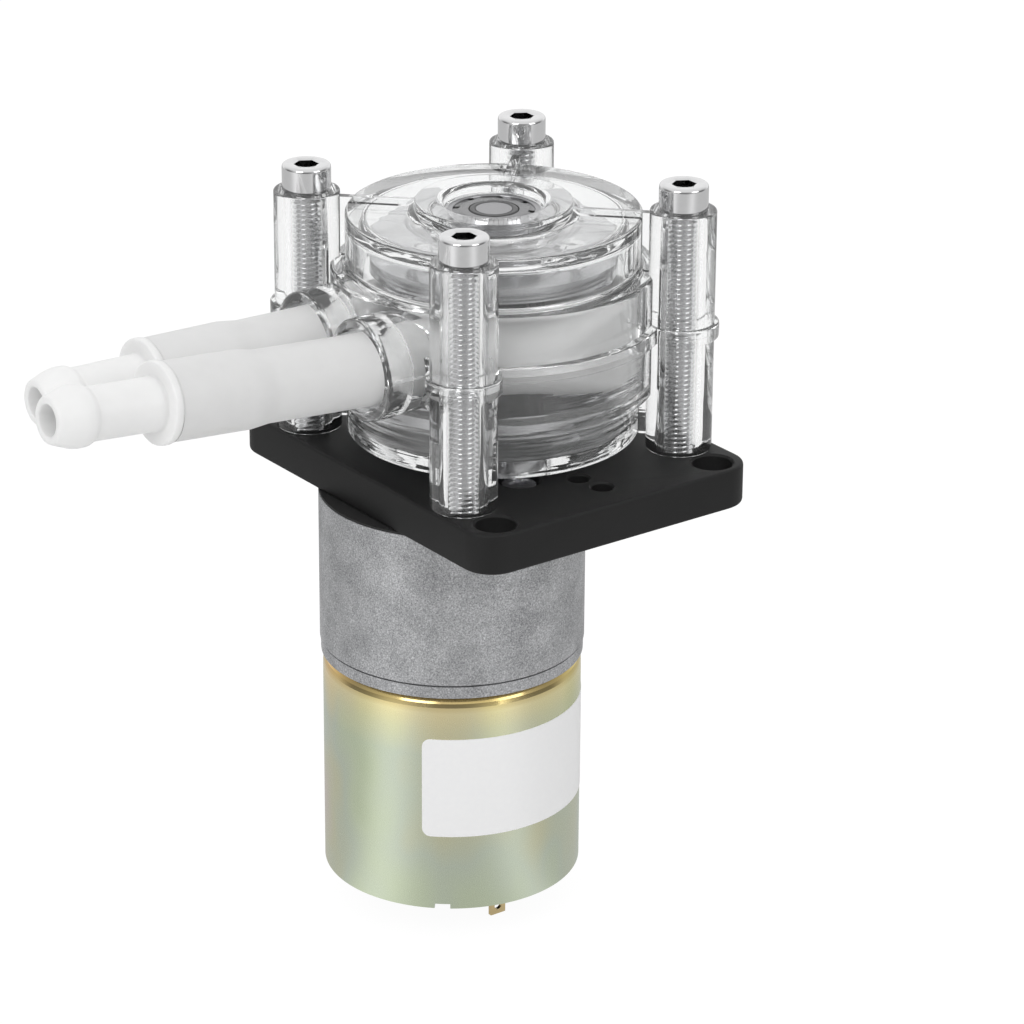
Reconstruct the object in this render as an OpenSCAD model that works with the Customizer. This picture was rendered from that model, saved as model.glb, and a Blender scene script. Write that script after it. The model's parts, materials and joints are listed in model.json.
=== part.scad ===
// Peristaltic metering pump: a clear three-roller pump head on a black panel plate,
// driven by an eccentric 37 mm gear motor that hangs under the plate.
// Origin on the rotor axis at the plate's underside, +Z up, tubes leave towards -X.

/* [Panel plate] */
// Distance from the panel screws to the plate's sides along the tubes
side_margin = 4.7; // [4.2:0.1:10]
// Distance from the panel screws to the plate's ends across the tubes
end_margin = 3.9; // [3.5:0.1:10]
// Plate thickness
plate_t = 5.8; // [5.2:0.1:7]
// Corner radius of the plate
plate_corner_r = 4.5; // [2:0.25:4.5]
// Panel screw spacing along X
mount_dx = 37; // [36:0.1:38]
// Panel screw spacing along Y
mount_dy = 51.6; // [51:0.1:52]
// Panel screw hole diameter
mount_hole_d = 5.6; // [4.2:0.1:6]
// Thickness of the gasket between plate and gearbox
gasket_t = 0.3; // [0.2:0.1:1]

/* [Pump head] */
// Square spacing of the four housing bolts
bolt_span = 36.8; // [36.4:0.1:37.6]
// Outside diameter of the bolt bosses
boss_d = 9.2; // [8.4:0.1:10]
// Height of the parting plane and of the tube above the plate
split_h = 17.6; // [17.2:0.1:18.5]
// Inside radius of the track that the tube is squeezed against
track_r = 20; // [19.7:0.1:20.4]
// Wall of the drum round the track
track_wall = 2.5; // [2:0.1:3]
// Height of the track band
track_h = 15.8; // [15.4:0.1:16.6]
// Inside radius of the drum below and above the track
rim_r = 18; // [17.5:0.1:18.4]
// Wall of the drum below and above the track
rim_wall = 2.4; // [1.6:0.1:3]
// Clearance between the drum floor and the plate
drum_lift = 1.5; // [0.8:0.1:1.7]
// Thickness of the drum floor
floor_t = 2; // [1.5:0.1:2.3]
// Thickness of the drum's top wall
roof_t = 2.5; // [2:0.1:3]
// Height of the drum's top face above the plate
drum_h = 33.1; // [32.8:0.1:34]
// Height of the bolt bosses over the drum's top face
boss_over = 1.6; // [1.5:0.1:4]
// Radius of the bearing rim on top
crown_r = 10.9; // [10.4:0.1:12]
// Height of the bearing rim above the drum's top face
crown_h = 1.5; // [1.2:0.1:2.5]
// Width of the stiffening ribs
rib_w = 1.2; // [0.8:0.1:2]
// Height of the ribs on the drum's top face
rib_h = 0.9; // [0.5:0.1:1.2]
// Width that the parting flange stands out from the drum
flange_w = 1.2; // [0.6:0.1:2]
// Thickness of the parting flange on each half
flange_t = 1.1; // [0.8:0.1:1.6]

/* [Tube and sleeves] */
// Outside diameter of the pump tube
tube_od = 10; // [9.6:0.1:10.2]
// Wall of the pump tube
tube_wall = 1.8; // [1.5:0.1:2]
// Distance of each tube leg from the middle plane
exit_y = 6.5; // [6.3:0.1:7]
// Bend radius where a leg turns into the track
bend_r = 12; // [11:0.5:13]
// Clearance between the tube and what guides it
tube_gap = 0.1; // [0.05:0.01:0.2]
// Wall of the exit sleeves
sleeve_wall = 2.1; // [1.6:0.1:2.6]
// Distance of the sleeve mouths from the rotor axis
sleeve_x = 27; // [25.5:0.5:30]
// Flare of the sleeve mouth
mouth_flare = 0.8; // [0.3:0.1:1.2]
// Distance of the front tube end from the rotor axis
front_end_x = 58; // [50:1:80]
// Distance of the rear tube end from the rotor axis
rear_end_x = 52; // [50:1:80]
// Rise angle of the front leg
front_rise = 4.7; // [0:0.1:6]
// Rise angle of the rear leg
rear_rise = 1.2; // [0:0.1:6]
// Extra radius where a fitting swells the tube
swell = 0.4; // [0.2:0.1:0.8]

/* [Hose fittings] */
// Radius of the spigot pushed into the tube
spigot_r = 3.4; // [3:0.1:3.6]
// Length of the spigot in the tube
spigot_l = 13; // [8:0.5:16]
// Bore radius through the fitting
fitting_bore_r = 2.1; // [1.5:0.1:2.4]
// Radius of the collar at the tube end
collar_r = 5.6; // [5.2:0.1:6.5]
// Thickness of the collar
collar_t = 1.3; // [0.8:0.1:2]
// Radius of the free hose barb's stem
barb_r = 3.6; // [3:0.1:4]
// Radius of the barb's ridge
ridge_r = 4.15; // [3.8:0.05:4.6]
// Length of the free barb from the collar to its tip
barb_l = 16; // [10:0.5:18]

/* [Rotor] */
// Orbit radius of the roller pins
orbit_r = 11.2; // [11:0.05:11.4]
// Roller radius
roller_r = 5.5; // [5.3:0.05:5.6]
// Roller length
roller_l = 16; // [14:0.1:16.2]
// Roller pin radius
pin_r = 1.5; // [1.2:0.1:2]
// Running clearance on the pins and shafts
run_gap = 0.05; // [0.03:0.01:0.08]
// Radius of the two rotor plates
rotor_plate_r = 17; // [16:0.1:17.2]
// Thickness of the rotor plates
rotor_plate_t = 2; // [1.5:0.1:2.2]
// Radius of the rotor hub
hub_r = 5.1; // [4.5:0.1:5.2]
// Height of the rivet heads on the pins
rivet_h = 0.7; // [0.4:0.1:0.8]

/* [Head bearing] */
// Bearing outside radius
bearing_r = 6.5; // [6.2:0.1:6.8]
// Bearing bore radius
bearing_bore_r = 2.5; // [2:0.1:2.6]
// Bearing width
bearing_w = 4; // [3.5:0.1:4.5]
// Ball radius
ball_r = 1; // [0.9:0.05:1.1]
// Number of balls
ball_count = 8; // [6:1:9]

/* [Gear motor] */
// Offset of the motor axis from the rotor axis
motor_offset = 7; // [6.5:0.1:7.5]
// Step from the motor can out to the gearbox
gearbox_step = 0.4; // [0.2:0.1:0.8]
// Gearbox length under the gasket
gearbox_l = 22; // [21.6:0.2:28]
// Thickness of the gearbox end plate
end_plate_t = 2; // [1.5:0.1:3]
// Radius of the gearbox pilot boss
pilot_r = 6; // [5.5:0.1:6.5]
// Height of the pilot boss above the gearbox face
pilot_h = 6; // [4:0.1:6.5]
// Radius of the output shaft
shaft_r = 3; // [2.5:0.1:3]
// Depth of the flat on the output shaft
shaft_flat = 0.5; // [0.3:0.05:0.8]
// Distance of the gearbox screws from the gearbox's side
screw_inset = 3.1; // [2.9:0.1:3.3]
// Motor can radius
can_r = 18.25; // [17.9:0.05:18.4]
// Motor can length
can_l = 32.7; // [28:0.1:45]
// Wall of the motor can
can_wall = 1.2; // [1:0.1:2]
// Rounding of the can's top shoulder
can_round = 2.2; // [1:0.1:3]
// Distance of the solder tabs from the motor axis
tab_y = 11; // [9:0.5:13]
// Length of the solder tabs below the can
tab_l = 5.6; // [3:0.1:8]

/* [Gear train] */
// Least gap between the gear wheels and the wall of their case
wheel_gap = 0.5; // [0.4:0.05:0.8]
// Teeth of the wheels
wheel_teeth = 32; // [30:1:32]
// Teeth of the pinions
pinion_teeth = 10; // [10:1:11]
// Thickness of the two compound wheels
wheel_t = 2; // [1.5:0.1:2.2]
// Thickness of the output gear
output_gear_t = 3; // [2:0.1:3.2]
// Direction of the second axle seen from the output shaft
second_axle_a = 100; // [96:1:102]
// Wall of the gearbox case round the gears
case_wall = 1.3; // [1:0.1:1.4]
// Thickness of the gearbox face that the screws hold
case_face_t = 5; // [4.8:0.1:5.5]

/* [Fasteners] */
// Housing bolt thread diameter
bolt_d = 4; // [3.5:0.1:4]
// Height of the bolt ends above the plate's underside
bolt_end = 0.5; // [0.2:0.1:2]
// Bolt head diameter
bolt_head_d = 6.8; // [6.5:0.1:7]
// Bolt head height
bolt_head_h = 3.7; // [3:0.1:4]
// Socket width across flats
socket_af = 3; // [2.5:0.1:3]
// Gearbox screw diameter
screw_d = 3; // [2.5:0.1:3]
// Gearbox screw length under the head
screw_l = 8; // [7:0.1:8.1]

/* [Hidden] */
$fn = 64;
eps = 0.01;

plate_w = mount_dx + 2 * side_margin;
plate_l = mount_dy + 2 * end_margin;
plate_top = plate_t;
split_z = plate_top + split_h;
boss_r = boss_d / 2;
boss_at = bolt_span / 2;

drum_bottom = plate_top + drum_lift;
floor_top = drum_bottom + floor_t;
track_bottom = split_z - track_h / 2;
track_top = split_z + track_h / 2;
drum_top = plate_top + drum_h;
boss_top = drum_top + boss_over;
boss_h = boss_top - plate_top;
bolt_l = boss_top - bolt_end;
roof_under = drum_top - roof_t;
drum_r = track_r + track_wall;
rim_outer_r = rim_r + rim_wall;
// Height over which the wide band runs past the track into the narrow rims
band_over = 1.7;
boss_reach = norm([boss_at, boss_at]);
// Radius where the boss webs start, inside the wall of the band and of the rims
web_root_r = max(track_r, rim_r) + 0.2;
crown_top = drum_top + crown_h;

tube_r = tube_od / 2;
wrap_r = track_r - tube_r - tube_gap;
bend_x = -sqrt(pow(wrap_r + bend_r, 2) - pow(exit_y + bend_r, 2));
join_a = atan2(exit_y + bend_r, -bend_x);
channel_r = tube_r + tube_gap;
// Extra room in the bends, where the squeezed tube stands taller
bend_room = 0.7;
sleeve_r = tube_r + sleeve_wall;

roller_low = split_z - roller_l / 2;
roller_high = split_z + roller_l / 2;
// Axial play of each roller between the rotor plates
roller_play = 0.2;
lower_plate_top = roller_low - roller_play;
upper_plate_under = roller_high + roller_play;
roller_count = 3;
// Rest angle of the first roller
roller_angle = 60;

bearing_top = drum_top + 0.2;
bearing_low = bearing_top - bearing_w;
ball_orbit = (bearing_r + bearing_bore_r) / 2;
// Radial thickness of the bearing rings
ring_t = 0.9;
groove_gap = 0.06;
// Lip that carries the bearing from below
lip_t = 0.9;
lip_r = bearing_r - ring_t;
pocket_r = bearing_r + 2;
spindle_shoulder_r = bearing_bore_r + ring_t - 0.1;

gearbox_r = can_r + gearbox_step;
gear_face = -gasket_t;
gearbox_under = gear_face - gearbox_l;
can_top = gearbox_under - end_plate_t;
can_bottom = can_top - can_l;
pilot_top = gear_face + pilot_h;
pilot_gap = 0.1;
bush_wall = 1.4;
// Reach of the output shaft into the gearbox, below its face
shaft_depth = 15;
// Depth of the bush and of the case boss that holds it
bush_depth = 8.4;
case_boss_r = 5.5;
case_ceiling = gear_face - case_face_t;
screw_pcd = 2 * (gearbox_r - screw_inset);
shaft_top = split_z + 1;
flat_from = pilot_top + 0.5;

// Teeth: pressure angle, thinning of each tooth for backlash, and flank points in modules
pressure_a = 25;
tooth_play = 0.03;
flank_at = [-1, -0.45, 0.15, 0.8];
axle_r = 1;
axle_seat = 1.3;
motor_shaft_r = 1;
motor_hole_r = 1.4;
motor_bore_depth = 10;
// Module of the gear teeth: the largest, in steps of 0.01, whose second wheel keeps its gap.
// That wheel reaches |module * mesh_teeth * u + motor_offset| + module * wheel_reach from the
// motor axis, for a unit vector u towards the second axle, which is a quadratic in the module
mesh_teeth = (wheel_teeth + pinion_teeth) / 2;
wheel_reach = (wheel_teeth + 2) / 2;
wheel_room = gearbox_r - case_wall - wheel_gap;
quad_a = pow(mesh_teeth, 2) - pow(wheel_reach, 2);
quad_b = 2 * (mesh_teeth * motor_offset * cos(second_axle_a) + wheel_room * wheel_reach);
quad_c = pow(motor_offset, 2) - pow(wheel_room, 2);
widest_module = (sqrt(pow(quad_b, 2) - 4 * quad_a * quad_c) - quad_b) / (2 * quad_a);
gear_module = floor(widest_module * 100) / 100;
mesh_distance = gear_module * mesh_teeth;
// Gap between a spacer on one axle and the wheel of the other
spacer_gap = 0.1;
axle_2 = mesh_distance * [cos(second_axle_a), sin(second_axle_a)];
// The first axle is one mesh distance from both the second axle and the motor shaft
motor_axis = [-motor_offset, 0];
between = (axle_2 - motor_axis) / 2;
half_way = norm(between);
axle_1 = motor_axis + between
  + sqrt(pow(mesh_distance, 2) - pow(half_way, 2)) * [-between[1], between[0]] / half_way;
wheel_1_low = gearbox_under + 1.5;
pinion_1_l = 4;
wheel_2_low = wheel_1_low + wheel_t + 1;
pinion_2_l = 6.3;
output_gear_low = wheel_2_low + wheel_t + 1.3;
// Direction from one axis to another, and the phase that puts a gap of the second gear, of n
// teeth, where a tooth of the first, of m teeth and turned by p, meets it
function toward(a, b) = atan2(b[1] - a[1], b[0] - a[0]);
function mesh_phase(p, m, n, t) = t + 180 - ((p - t) * m + 180) / n;
phase_2 = mesh_phase(0, wheel_teeth, pinion_teeth, second_axle_a);
phase_1 = mesh_phase(phase_2, wheel_teeth, pinion_teeth, toward(axle_2, axle_1));
phase_motor = mesh_phase(phase_1, wheel_teeth, pinion_teeth, toward(axle_1, motor_axis));
screw_angles = [30, 90, 270, 330];
screw_head_r = 2.8;
screw_head_h = 1.6;
// Depth of the screw head seats, and of the heads below the plate's top
screw_sink = 2.6;
bolt_clear = 0.15;

// Places of the four corner bolts
bolt_places = [for (sx = [-1, 1], sy = [-1, 1]) [sx * boss_at, sy * boss_at]];

function screw_place(a) =
  [-motor_offset + screw_pcd / 2 * cos(a), screw_pcd / 2 * sin(a)];

function roller_place(k) = let (a = roller_angle + k * 360 / roller_count)
  [orbit_r * cos(a), orbit_r * sin(a)];

module rounded_slab(w, l, t, r) {
  union() {
    translate([-w / 2 + r, -l / 2, 0]) cube([w - 2 * r, l, t]);
    translate([-w / 2, -l / 2 + r, 0]) cube([w, l - 2 * r, t]);
    for (sx = [-1, 1], sy = [-1, 1])
      translate([sx * (w / 2 - r), sy * (l / 2 - r), 0]) cylinder(h = t, r = r);
  }
}

module at_bolts() {
  for (p = bolt_places) translate([p[0], p[1], 0]) children();
}

module at_gear_screws() {
  for (a = screw_angles) translate([screw_place(a)[0], screw_place(a)[1], 0]) children();
}

module ring(r_in, r_out, h) {
  difference() {
    cylinder(h = h, r = r_out);
    translate([0, 0, -eps]) cylinder(h = h + 2 * eps, r = r_in);
  }
}

// Panel plate

module mounting_plate() {
  color([0.16, 0.16, 0.17]) difference() {
    rounded_slab(plate_w, plate_l, plate_t, plate_corner_r);
    for (sx = [-1, 1], sy = [-1, 1])
      translate([sx * mount_dx / 2, sy * mount_dy / 2, -1]) cylinder(h = plate_t + 2, d = mount_hole_d);
    at_bolts() translate([0, 0, -1]) cylinder(h = plate_t + 2, r = bolt_d / 2);
    translate([0, 0, -1]) cylinder(h = plate_t + 2, r = pilot_r + pilot_gap);
    at_gear_screws() {
      translate([0, 0, -1]) cylinder(h = plate_t + 2, r = screw_d / 2 + bolt_clear);
      translate([0, 0, plate_t - screw_sink]) cylinder(h = screw_sink + 1, r = screw_head_r + bolt_clear);
    }
    spare_holes();
  }
}

// Spare holes of the plate, for other gear motors
module spare_holes() {
  spare_d = 3;
  spare_step = 0.8;
  first_inwards = 6.1;
  second_inwards = 1.9;
  for (s = [-1, 1], p = [[0, first_inwards], [spare_step, second_inwards]])
    translate([p[0], s * (mount_dy / 2 - p[1]), -1]) cylinder(h = plate_t + 2, d = spare_d);
}

module gearbox_gasket() {
  color([0.1, 0.1, 0.1]) difference() {
    translate([-motor_offset, 0, -gasket_t]) cylinder(h = gasket_t, r = gearbox_r - 0.1);
    translate([0, 0, -gasket_t - 1]) cylinder(h = gasket_t + 2, r = pilot_r + pilot_gap);
    at_gear_screws() translate([0, 0, -gasket_t - 1])
      cylinder(h = gasket_t + 2, r = screw_d / 2 + bolt_clear);
  }
}

// Clear pump housing in two halves

// Half profile of the whole drum as it is turned, with the bearing seat in its roof
module drum_profile() {
  bevel = 0.5;
  seat_under = bearing_low - lip_t;
  floor_bore_r = pilot_r + 1;
  polygon([
    [floor_bore_r, drum_bottom], [rim_outer_r - bevel, drum_bottom],
    [rim_outer_r, drum_bottom + bevel], [rim_outer_r, track_bottom - band_over],
    [drum_r - bevel, track_bottom - band_over], [drum_r, track_bottom - band_over + bevel],
    [drum_r, track_top - bevel], [drum_r - bevel, track_top], [rim_outer_r + bevel, track_top],
    [rim_outer_r, track_top + bevel], [rim_outer_r, drum_top - bevel],
    [rim_outer_r - bevel, drum_top], [crown_r + 0.9, drum_top],
    [crown_r, drum_top + crown_h * 0.55], [crown_r, crown_top - 0.3], [crown_r - 0.3, crown_top],
    [bearing_r + 1.2, crown_top], [bearing_r + 0.4, crown_top - 0.5],
    [bearing_r + 0.4, bearing_top], [bearing_r, bearing_top],
    [bearing_r, bearing_low], [lip_r, bearing_low], [lip_r, seat_under],
    [pocket_r, seat_under], [pocket_r, roof_under], [rim_r, roof_under], [rim_r, track_top],
    [track_r, track_top], [track_r, track_bottom], [rim_r, track_bottom],
    [rim_r, floor_top], [floor_bore_r, floor_top]
  ]);
}

module leg_cylinder(s, x0, x1, r) {
  translate([x0, s * exit_y, split_z]) rotate([0, 90, 0]) cylinder(h = x1 - x0, r = r);
}

// Way of the tube through sleeve and drum wall, with its flared mouth
module tube_channel() {
  flare_l = 5;
  wide_l = 3;
  for (s = [-1, 1]) {
    leg_cylinder(s, -sleeve_x - 1, bend_x - 1, channel_r);
    translate([-sleeve_x - eps, s * exit_y, split_z]) rotate([0, 90, 0])
      cylinder(h = flare_l, r1 = channel_r + mouth_flare, r2 = channel_r - eps);
    leg_cylinder(s, bend_x - wide_l, bend_x + 0.5, channel_r + bend_room + 0.1);
    translate([bend_x, s * (exit_y + bend_r), split_z]) mirror([0, s > 0 ? 1 : 0, 0])
      rotate([0, 0, join_a]) rotate_extrude(angle = 90 - join_a)
        translate([bend_r, 0]) circle(r = channel_r + bend_room);
  }
}

module track_space() {
  translate([0, 0, track_bottom]) cylinder(h = track_h, r = track_r);
  translate([0, 0, floor_top]) cylinder(h = roof_under - floor_top, r = rim_r);
}

// Flat outline of the parting flange
module flange_outline() {
  collar_w = 0.65;
  difference() {
    union() {
      circle(r = drum_r + flange_w);
      for (p = bolt_places) translate(p) circle(r = boss_r + collar_w);
    }
    circle(r = track_r + track_wall / 2);
  }
}

// Webs that tie the bosses to the drum
module boss_webs() {
  for (a = [45, 135, 225, 315]) rotate([0, 0, a]) translate([web_root_r, -rib_w / 2, drum_bottom + 0.3])
    cube([boss_reach - web_root_r, rib_w, drum_top + rib_h - drum_bottom - 0.3]);
}

// Webs that tie the exit sleeves to the two bosses beside them
module sleeve_webs() {
  web_under = 4.5;
  web_over = 2.6;
  root_y = exit_y + sleeve_r * 0.6;
  for (s = [-1, 1]) mirror([0, s > 0 ? 0 : 1, 0])
    translate([-boss_at - boss_r * 0.6, root_y, split_z - web_under])
      cube([rib_w * 1.5, boss_at - root_y, web_under + web_over]);
}

// Whole clear housing, before it is parted at the tube's height
module whole_housing() {
  sleeve_l = 12;
  difference() {
    union() {
      difference() {
        union() {
          rotate_extrude() drum_profile();
          for (s = [-1, 1]) leg_cylinder(s, -sleeve_x, sleeve_l - sleeve_x, sleeve_r);
          translate([0, 0, split_z - flange_t]) linear_extrude(2 * flange_t) flange_outline();
          boss_webs();
          sleeve_webs();
        }
        tube_channel();
        track_space();
      }
      top_ribs();
      at_bolts() translate([0, 0, plate_top]) cylinder(h = boss_h, r = boss_r);
    }
    at_bolts() translate([0, 0, plate_top - 1])
      cylinder(h = boss_h + 2, r = bolt_d / 2 + bolt_clear);
  }
}

// Block that holds all of the housing on one side of the parting plane
module side_of_split(up) {
  reach = 2 * (sleeve_x + boss_reach);
  translate([-reach / 2, -reach / 2, up ? split_z : split_z - reach]) cube(reach);
}

module lower_housing() {
  color([0.92, 0.95, 0.96, 0.35]) difference() {
    whole_housing();
    side_of_split(true);
  }
}

module upper_housing() {
  color([0.92, 0.95, 0.96, 0.35]) difference() {
    whole_housing();
    side_of_split(false);
  }
}

// Radial ribs from the bearing rim out to the bosses
module top_ribs() {
  for (a = [45, 135, 225, 315]) rotate([0, 0, a])
    translate([crown_r - 0.5, -rib_w / 2, drum_top - 0.3])
      cube([boss_reach - crown_r, rib_w, rib_h + 0.3]);
}

// Fasteners

module hex_socket(af, depth) {
  cylinder(h = depth, r = af / sqrt(3), $fn = 6);
}

module housing_bolts() {
  color([0.75, 0.74, 0.73]) at_bolts() translate([0, 0, boss_top]) difference() {
    rotate_extrude() polygon([
      [0, -bolt_l], [bolt_d / 2 - 0.5, -bolt_l], [bolt_d / 2 - eps, -bolt_l + 0.5],
      [bolt_d / 2 - eps, 0], [bolt_head_d / 2, 0], [bolt_head_d / 2, bolt_head_h - 0.6],
      [bolt_head_d / 2 - 0.6, bolt_head_h], [0, bolt_head_h]
    ]);
    translate([0, 0, bolt_head_h / 2]) hex_socket(socket_af, bolt_head_h);
  }
}

module gearbox_screws() {
  slot = 0.7;
  head_under = plate_t - screw_sink;
  color([0.6, 0.6, 0.6]) at_gear_screws() translate([0, 0, head_under]) difference() {
    union() {
      translate([0, 0, -screw_l]) cylinder(h = screw_l + eps, r = screw_d / 2);
      rotate_extrude() polygon([
        [0, 0], [screw_head_r, 0], [screw_head_r, screw_head_h * 0.6],
        [screw_head_r - 0.7, screw_head_h], [0, screw_head_h]
      ]);
    }
    for (a = [0, 90]) rotate([0, 0, a])
      translate([-screw_head_r * 0.6, -slot / 2, screw_head_h * 0.35])
        cube([screw_head_r * 1.2, slot, screw_head_h]);
  }
}

// Tube, routed up one leg, round the track and out by the other leg

// Inside the sleeve a leg runs level, then it bends up over a short stretch and runs straight
rise_inside = 4;
rise_bend = 6;
function leg_rise(x, slope) = let (d = rise_inside - sleeve_x - x) d <= 0 ? 0
  : d < rise_bend ? d * d / (2 * rise_bend) * tan(slope)
  : (d - rise_bend / 2) * tan(slope);

leg_steps = 14;
bend_steps = 6;
wrap_steps = 44;

// Each station is [x, y, z, outward x, outward y, swollen share]
front_leg = [for (i = [0:leg_steps - 1])
  let (x = -front_end_x + (front_end_x + bend_x) * i / leg_steps)
  [x, -exit_y, split_z + leg_rise(x, front_rise), 0, -1, swollen(x + front_end_x)]];
front_bend = [for (i = [0:bend_steps - 1]) let (a = 90 - (90 - join_a) * i / bend_steps)
  [bend_x + bend_r * cos(a), -exit_y - bend_r + bend_r * sin(a), split_z, -cos(a), -sin(a), 0]];
wrap = [for (i = [0:wrap_steps]) let (a = 180 + join_a + (360 - 2 * join_a) * i / wrap_steps)
  [wrap_r * cos(a), wrap_r * sin(a), split_z, cos(a), sin(a), 0]];
rear_bend = [for (i = [bend_steps - 1:-1:0]) let (p = front_bend[i])
  [p[0], -p[1], p[2], p[3], -p[4], 0]];
rear_leg = [for (i = [leg_steps - 1:-1:0])
  let (x = -rear_end_x + (rear_end_x + bend_x) * i / leg_steps)
  [x, exit_y, split_z + leg_rise(x, rear_rise), 0, 1, swollen(x + rear_end_x)]];
stations = concat(front_leg, front_bend, wrap, rear_bend, rear_leg);

// Share of the swelling at a distance from the tube's cut end
function swollen(d) = d < spigot_l - 1 ? 1 : max(0, 1 - (d - spigot_l + 1) / 3);

function roller_gap(p) = min([for (k = [0:roller_count - 1])
  norm([p[0], p[1]] - roller_place(k)) - roller_r - tube_gap]);

// Inner half depth of the tube's section: full, or what the nearest roller leaves
function inner_depth(p) = let (g = roller_gap(p), soft = 0.6, m = (g + tube_r) / 2)
  m - sqrt(pow((g - tube_r) / 2, 2) + soft * soft);

sides = 16;
// Round or flattened section: a stadium of the tube's own girth
function stadium(h, w, i) = let (a = 360 * (i + 0.5) / sides)
  [h / 2 * cos(a), h / 2 * sin(a) + (sin(a) > 0 ? 1 : -1) * (w - h) / 2];
function girth_width(h, od) = max(h, (PI * od - PI * h) / 2 + h);

function section(p, wall) = let (
    r = tube_r + swell * p[5],
    inner = min(r, inner_depth(p) + swell * p[5]),
    h = r + inner,
    skin = min(wall, h / 2 - 0.12),
    w = girth_width(h, 2 * r),
    shift = (r - inner) / 2
  )
  [for (i = [0:sides - 1]) let (q = stadium(h - 2 * skin, w - 2 * skin, i), n = q[0] + shift)
    [p[0] + p[3] * n, p[1] + p[4] * n, p[2] + q[1]]];

module pump_tube() {
  n = len(stations);
  outer = [for (p = stations) each section(p, 0)];
  inner = [for (p = stations) each section(p, tube_wall)];
  m = n * sides;
  skin_faces = [for (i = [0:n - 2], j = [0:sides - 1]) let (k = (j + 1) % sides)
    [i * sides + j, i * sides + k, (i + 1) * sides + k, (i + 1) * sides + j]];
  bore_faces = [for (f = skin_faces) [f[3] + m, f[2] + m, f[1] + m, f[0] + m]];
  first = [for (j = [0:sides - 1]) let (k = (j + 1) % sides) [j, m + j, m + k, k]];
  last = [for (j = [0:sides - 1]) let (k = (j + 1) % sides, b = (n - 1) * sides)
    [b + j, b + k, m + b + k, m + b + j]];
  color([0.86, 0.86, 0.85]) polyhedron(
    points = concat(outer, inner), faces = concat(skin_faces, bore_faces, first, last), convexity = 8);
}

// Barbed fitting along +X, with its collar face at x = 0 and its spigot towards +X
module hose_fitting() {
  tip_r = barb_r - 0.5;
  color([0.93, 0.93, 0.92]) rotate([0, 90, 0]) rotate_extrude() polygon([
    [fitting_bore_r, -collar_t - barb_l], [tip_r, -collar_t - barb_l],
    [ridge_r - 0.2, -collar_t - barb_l + 2.6], [ridge_r, -collar_t - barb_l + 3.2],
    [ridge_r - 0.1, -collar_t - barb_l + 5.2], [barb_r, -collar_t - barb_l + 5.7],
    [barb_r, -collar_t], [collar_r - 0.4, -collar_t], [collar_r, -collar_t + 0.4],
    [collar_r, -0.4], [collar_r - 0.4, 0], [spigot_r, 0], [spigot_r, spigot_l - 4],
    [spigot_r + 0.2, spigot_l - 3.6], [spigot_r - 0.5, spigot_l], [fitting_bore_r, spigot_l]
  ]);
}

module front_fitting() {
  translate([-front_end_x, -exit_y, split_z + leg_rise(-front_end_x, front_rise)])
    rotate([0, front_rise, 0]) hose_fitting();
}

module rear_fitting() {
  translate([-rear_end_x, exit_y, split_z + leg_rise(-rear_end_x, rear_rise)])
    rotate([0, rear_rise, 0]) hose_fitting();
}

// Rotor

// Round bar with a flat, as the output shaft and as the bore that takes it
module flatted_bar(r, h, flat) {
  difference() {
    cylinder(h = h, r = r);
    translate([r - flat, -r, -1]) cube([2 * r, 2 * r, h + 2]);
  }
}

module output_shaft() {
  color([0.7, 0.7, 0.72]) union() {
    translate([0, 0, gear_face - shaft_depth])
      cylinder(h = flat_from - gear_face + shaft_depth, r = shaft_r);
    translate([0, 0, flat_from - eps]) flatted_bar(shaft_r, shaft_top - flat_from, shaft_flat);
  }
}

module rotor_hub() {
  foot_r = hub_r + 3;
  foot_low = floor_top + 1;
  fit = 0.02;
  color([0.82, 0.82, 0.84]) difference() {
    union() {
      translate([0, 0, foot_low]) cylinder(h = lower_plate_top - rotor_plate_t - foot_low, r = foot_r);
      translate([0, 0, foot_low]) cylinder(h = upper_plate_under - foot_low, r = hub_r);
      translate([0, 0, upper_plate_under - eps])
        cylinder(h = bearing_low - upper_plate_under + eps, r = spindle_shoulder_r);
      translate([0, 0, bearing_low - eps])
        cylinder(h = bearing_top - bearing_low, r = bearing_bore_r);
    }
    translate([0, 0, foot_low - 1])
      flatted_bar(shaft_r + fit, shaft_top + fit - foot_low + 1, shaft_flat);
  }
}

module rotor_disc(z, bore_r) {
  difference() {
    translate([0, 0, z]) cylinder(h = rotor_plate_t, r = rotor_plate_r);
    translate([0, 0, z - 1]) cylinder(h = rotor_plate_t + 2, r = bore_r);
    for (k = [0:roller_count - 1]) translate([roller_place(k)[0], roller_place(k)[1], z - 1])
      cylinder(h = rotor_plate_t + 2, r = pin_r);
  }
}

module rotor_lower_plate() {
  color([0.66, 0.66, 0.67]) rotor_disc(lower_plate_top - rotor_plate_t, hub_r);
}

module rotor_upper_plate() {
  color([0.66, 0.66, 0.67]) rotor_disc(upper_plate_under, spindle_shoulder_r);
}

module roller_pins() {
  low = lower_plate_top - rotor_plate_t - rivet_h;
  high = upper_plate_under + rotor_plate_t + rivet_h;
  head_r = pin_r + 0.7;
  color([0.6, 0.6, 0.62])
    for (k = [0:roller_count - 1]) translate([roller_place(k)[0], roller_place(k)[1], 0])
      rotate_extrude() polygon([
        [0, low], [head_r - 0.4, low], [head_r, low + 0.4], [head_r, low + rivet_h],
        [pin_r, low + rivet_h], [pin_r, high - rivet_h], [head_r, high - rivet_h],
        [head_r, high - 0.4], [head_r - 0.4, high], [0, high]
      ]);
}

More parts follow.
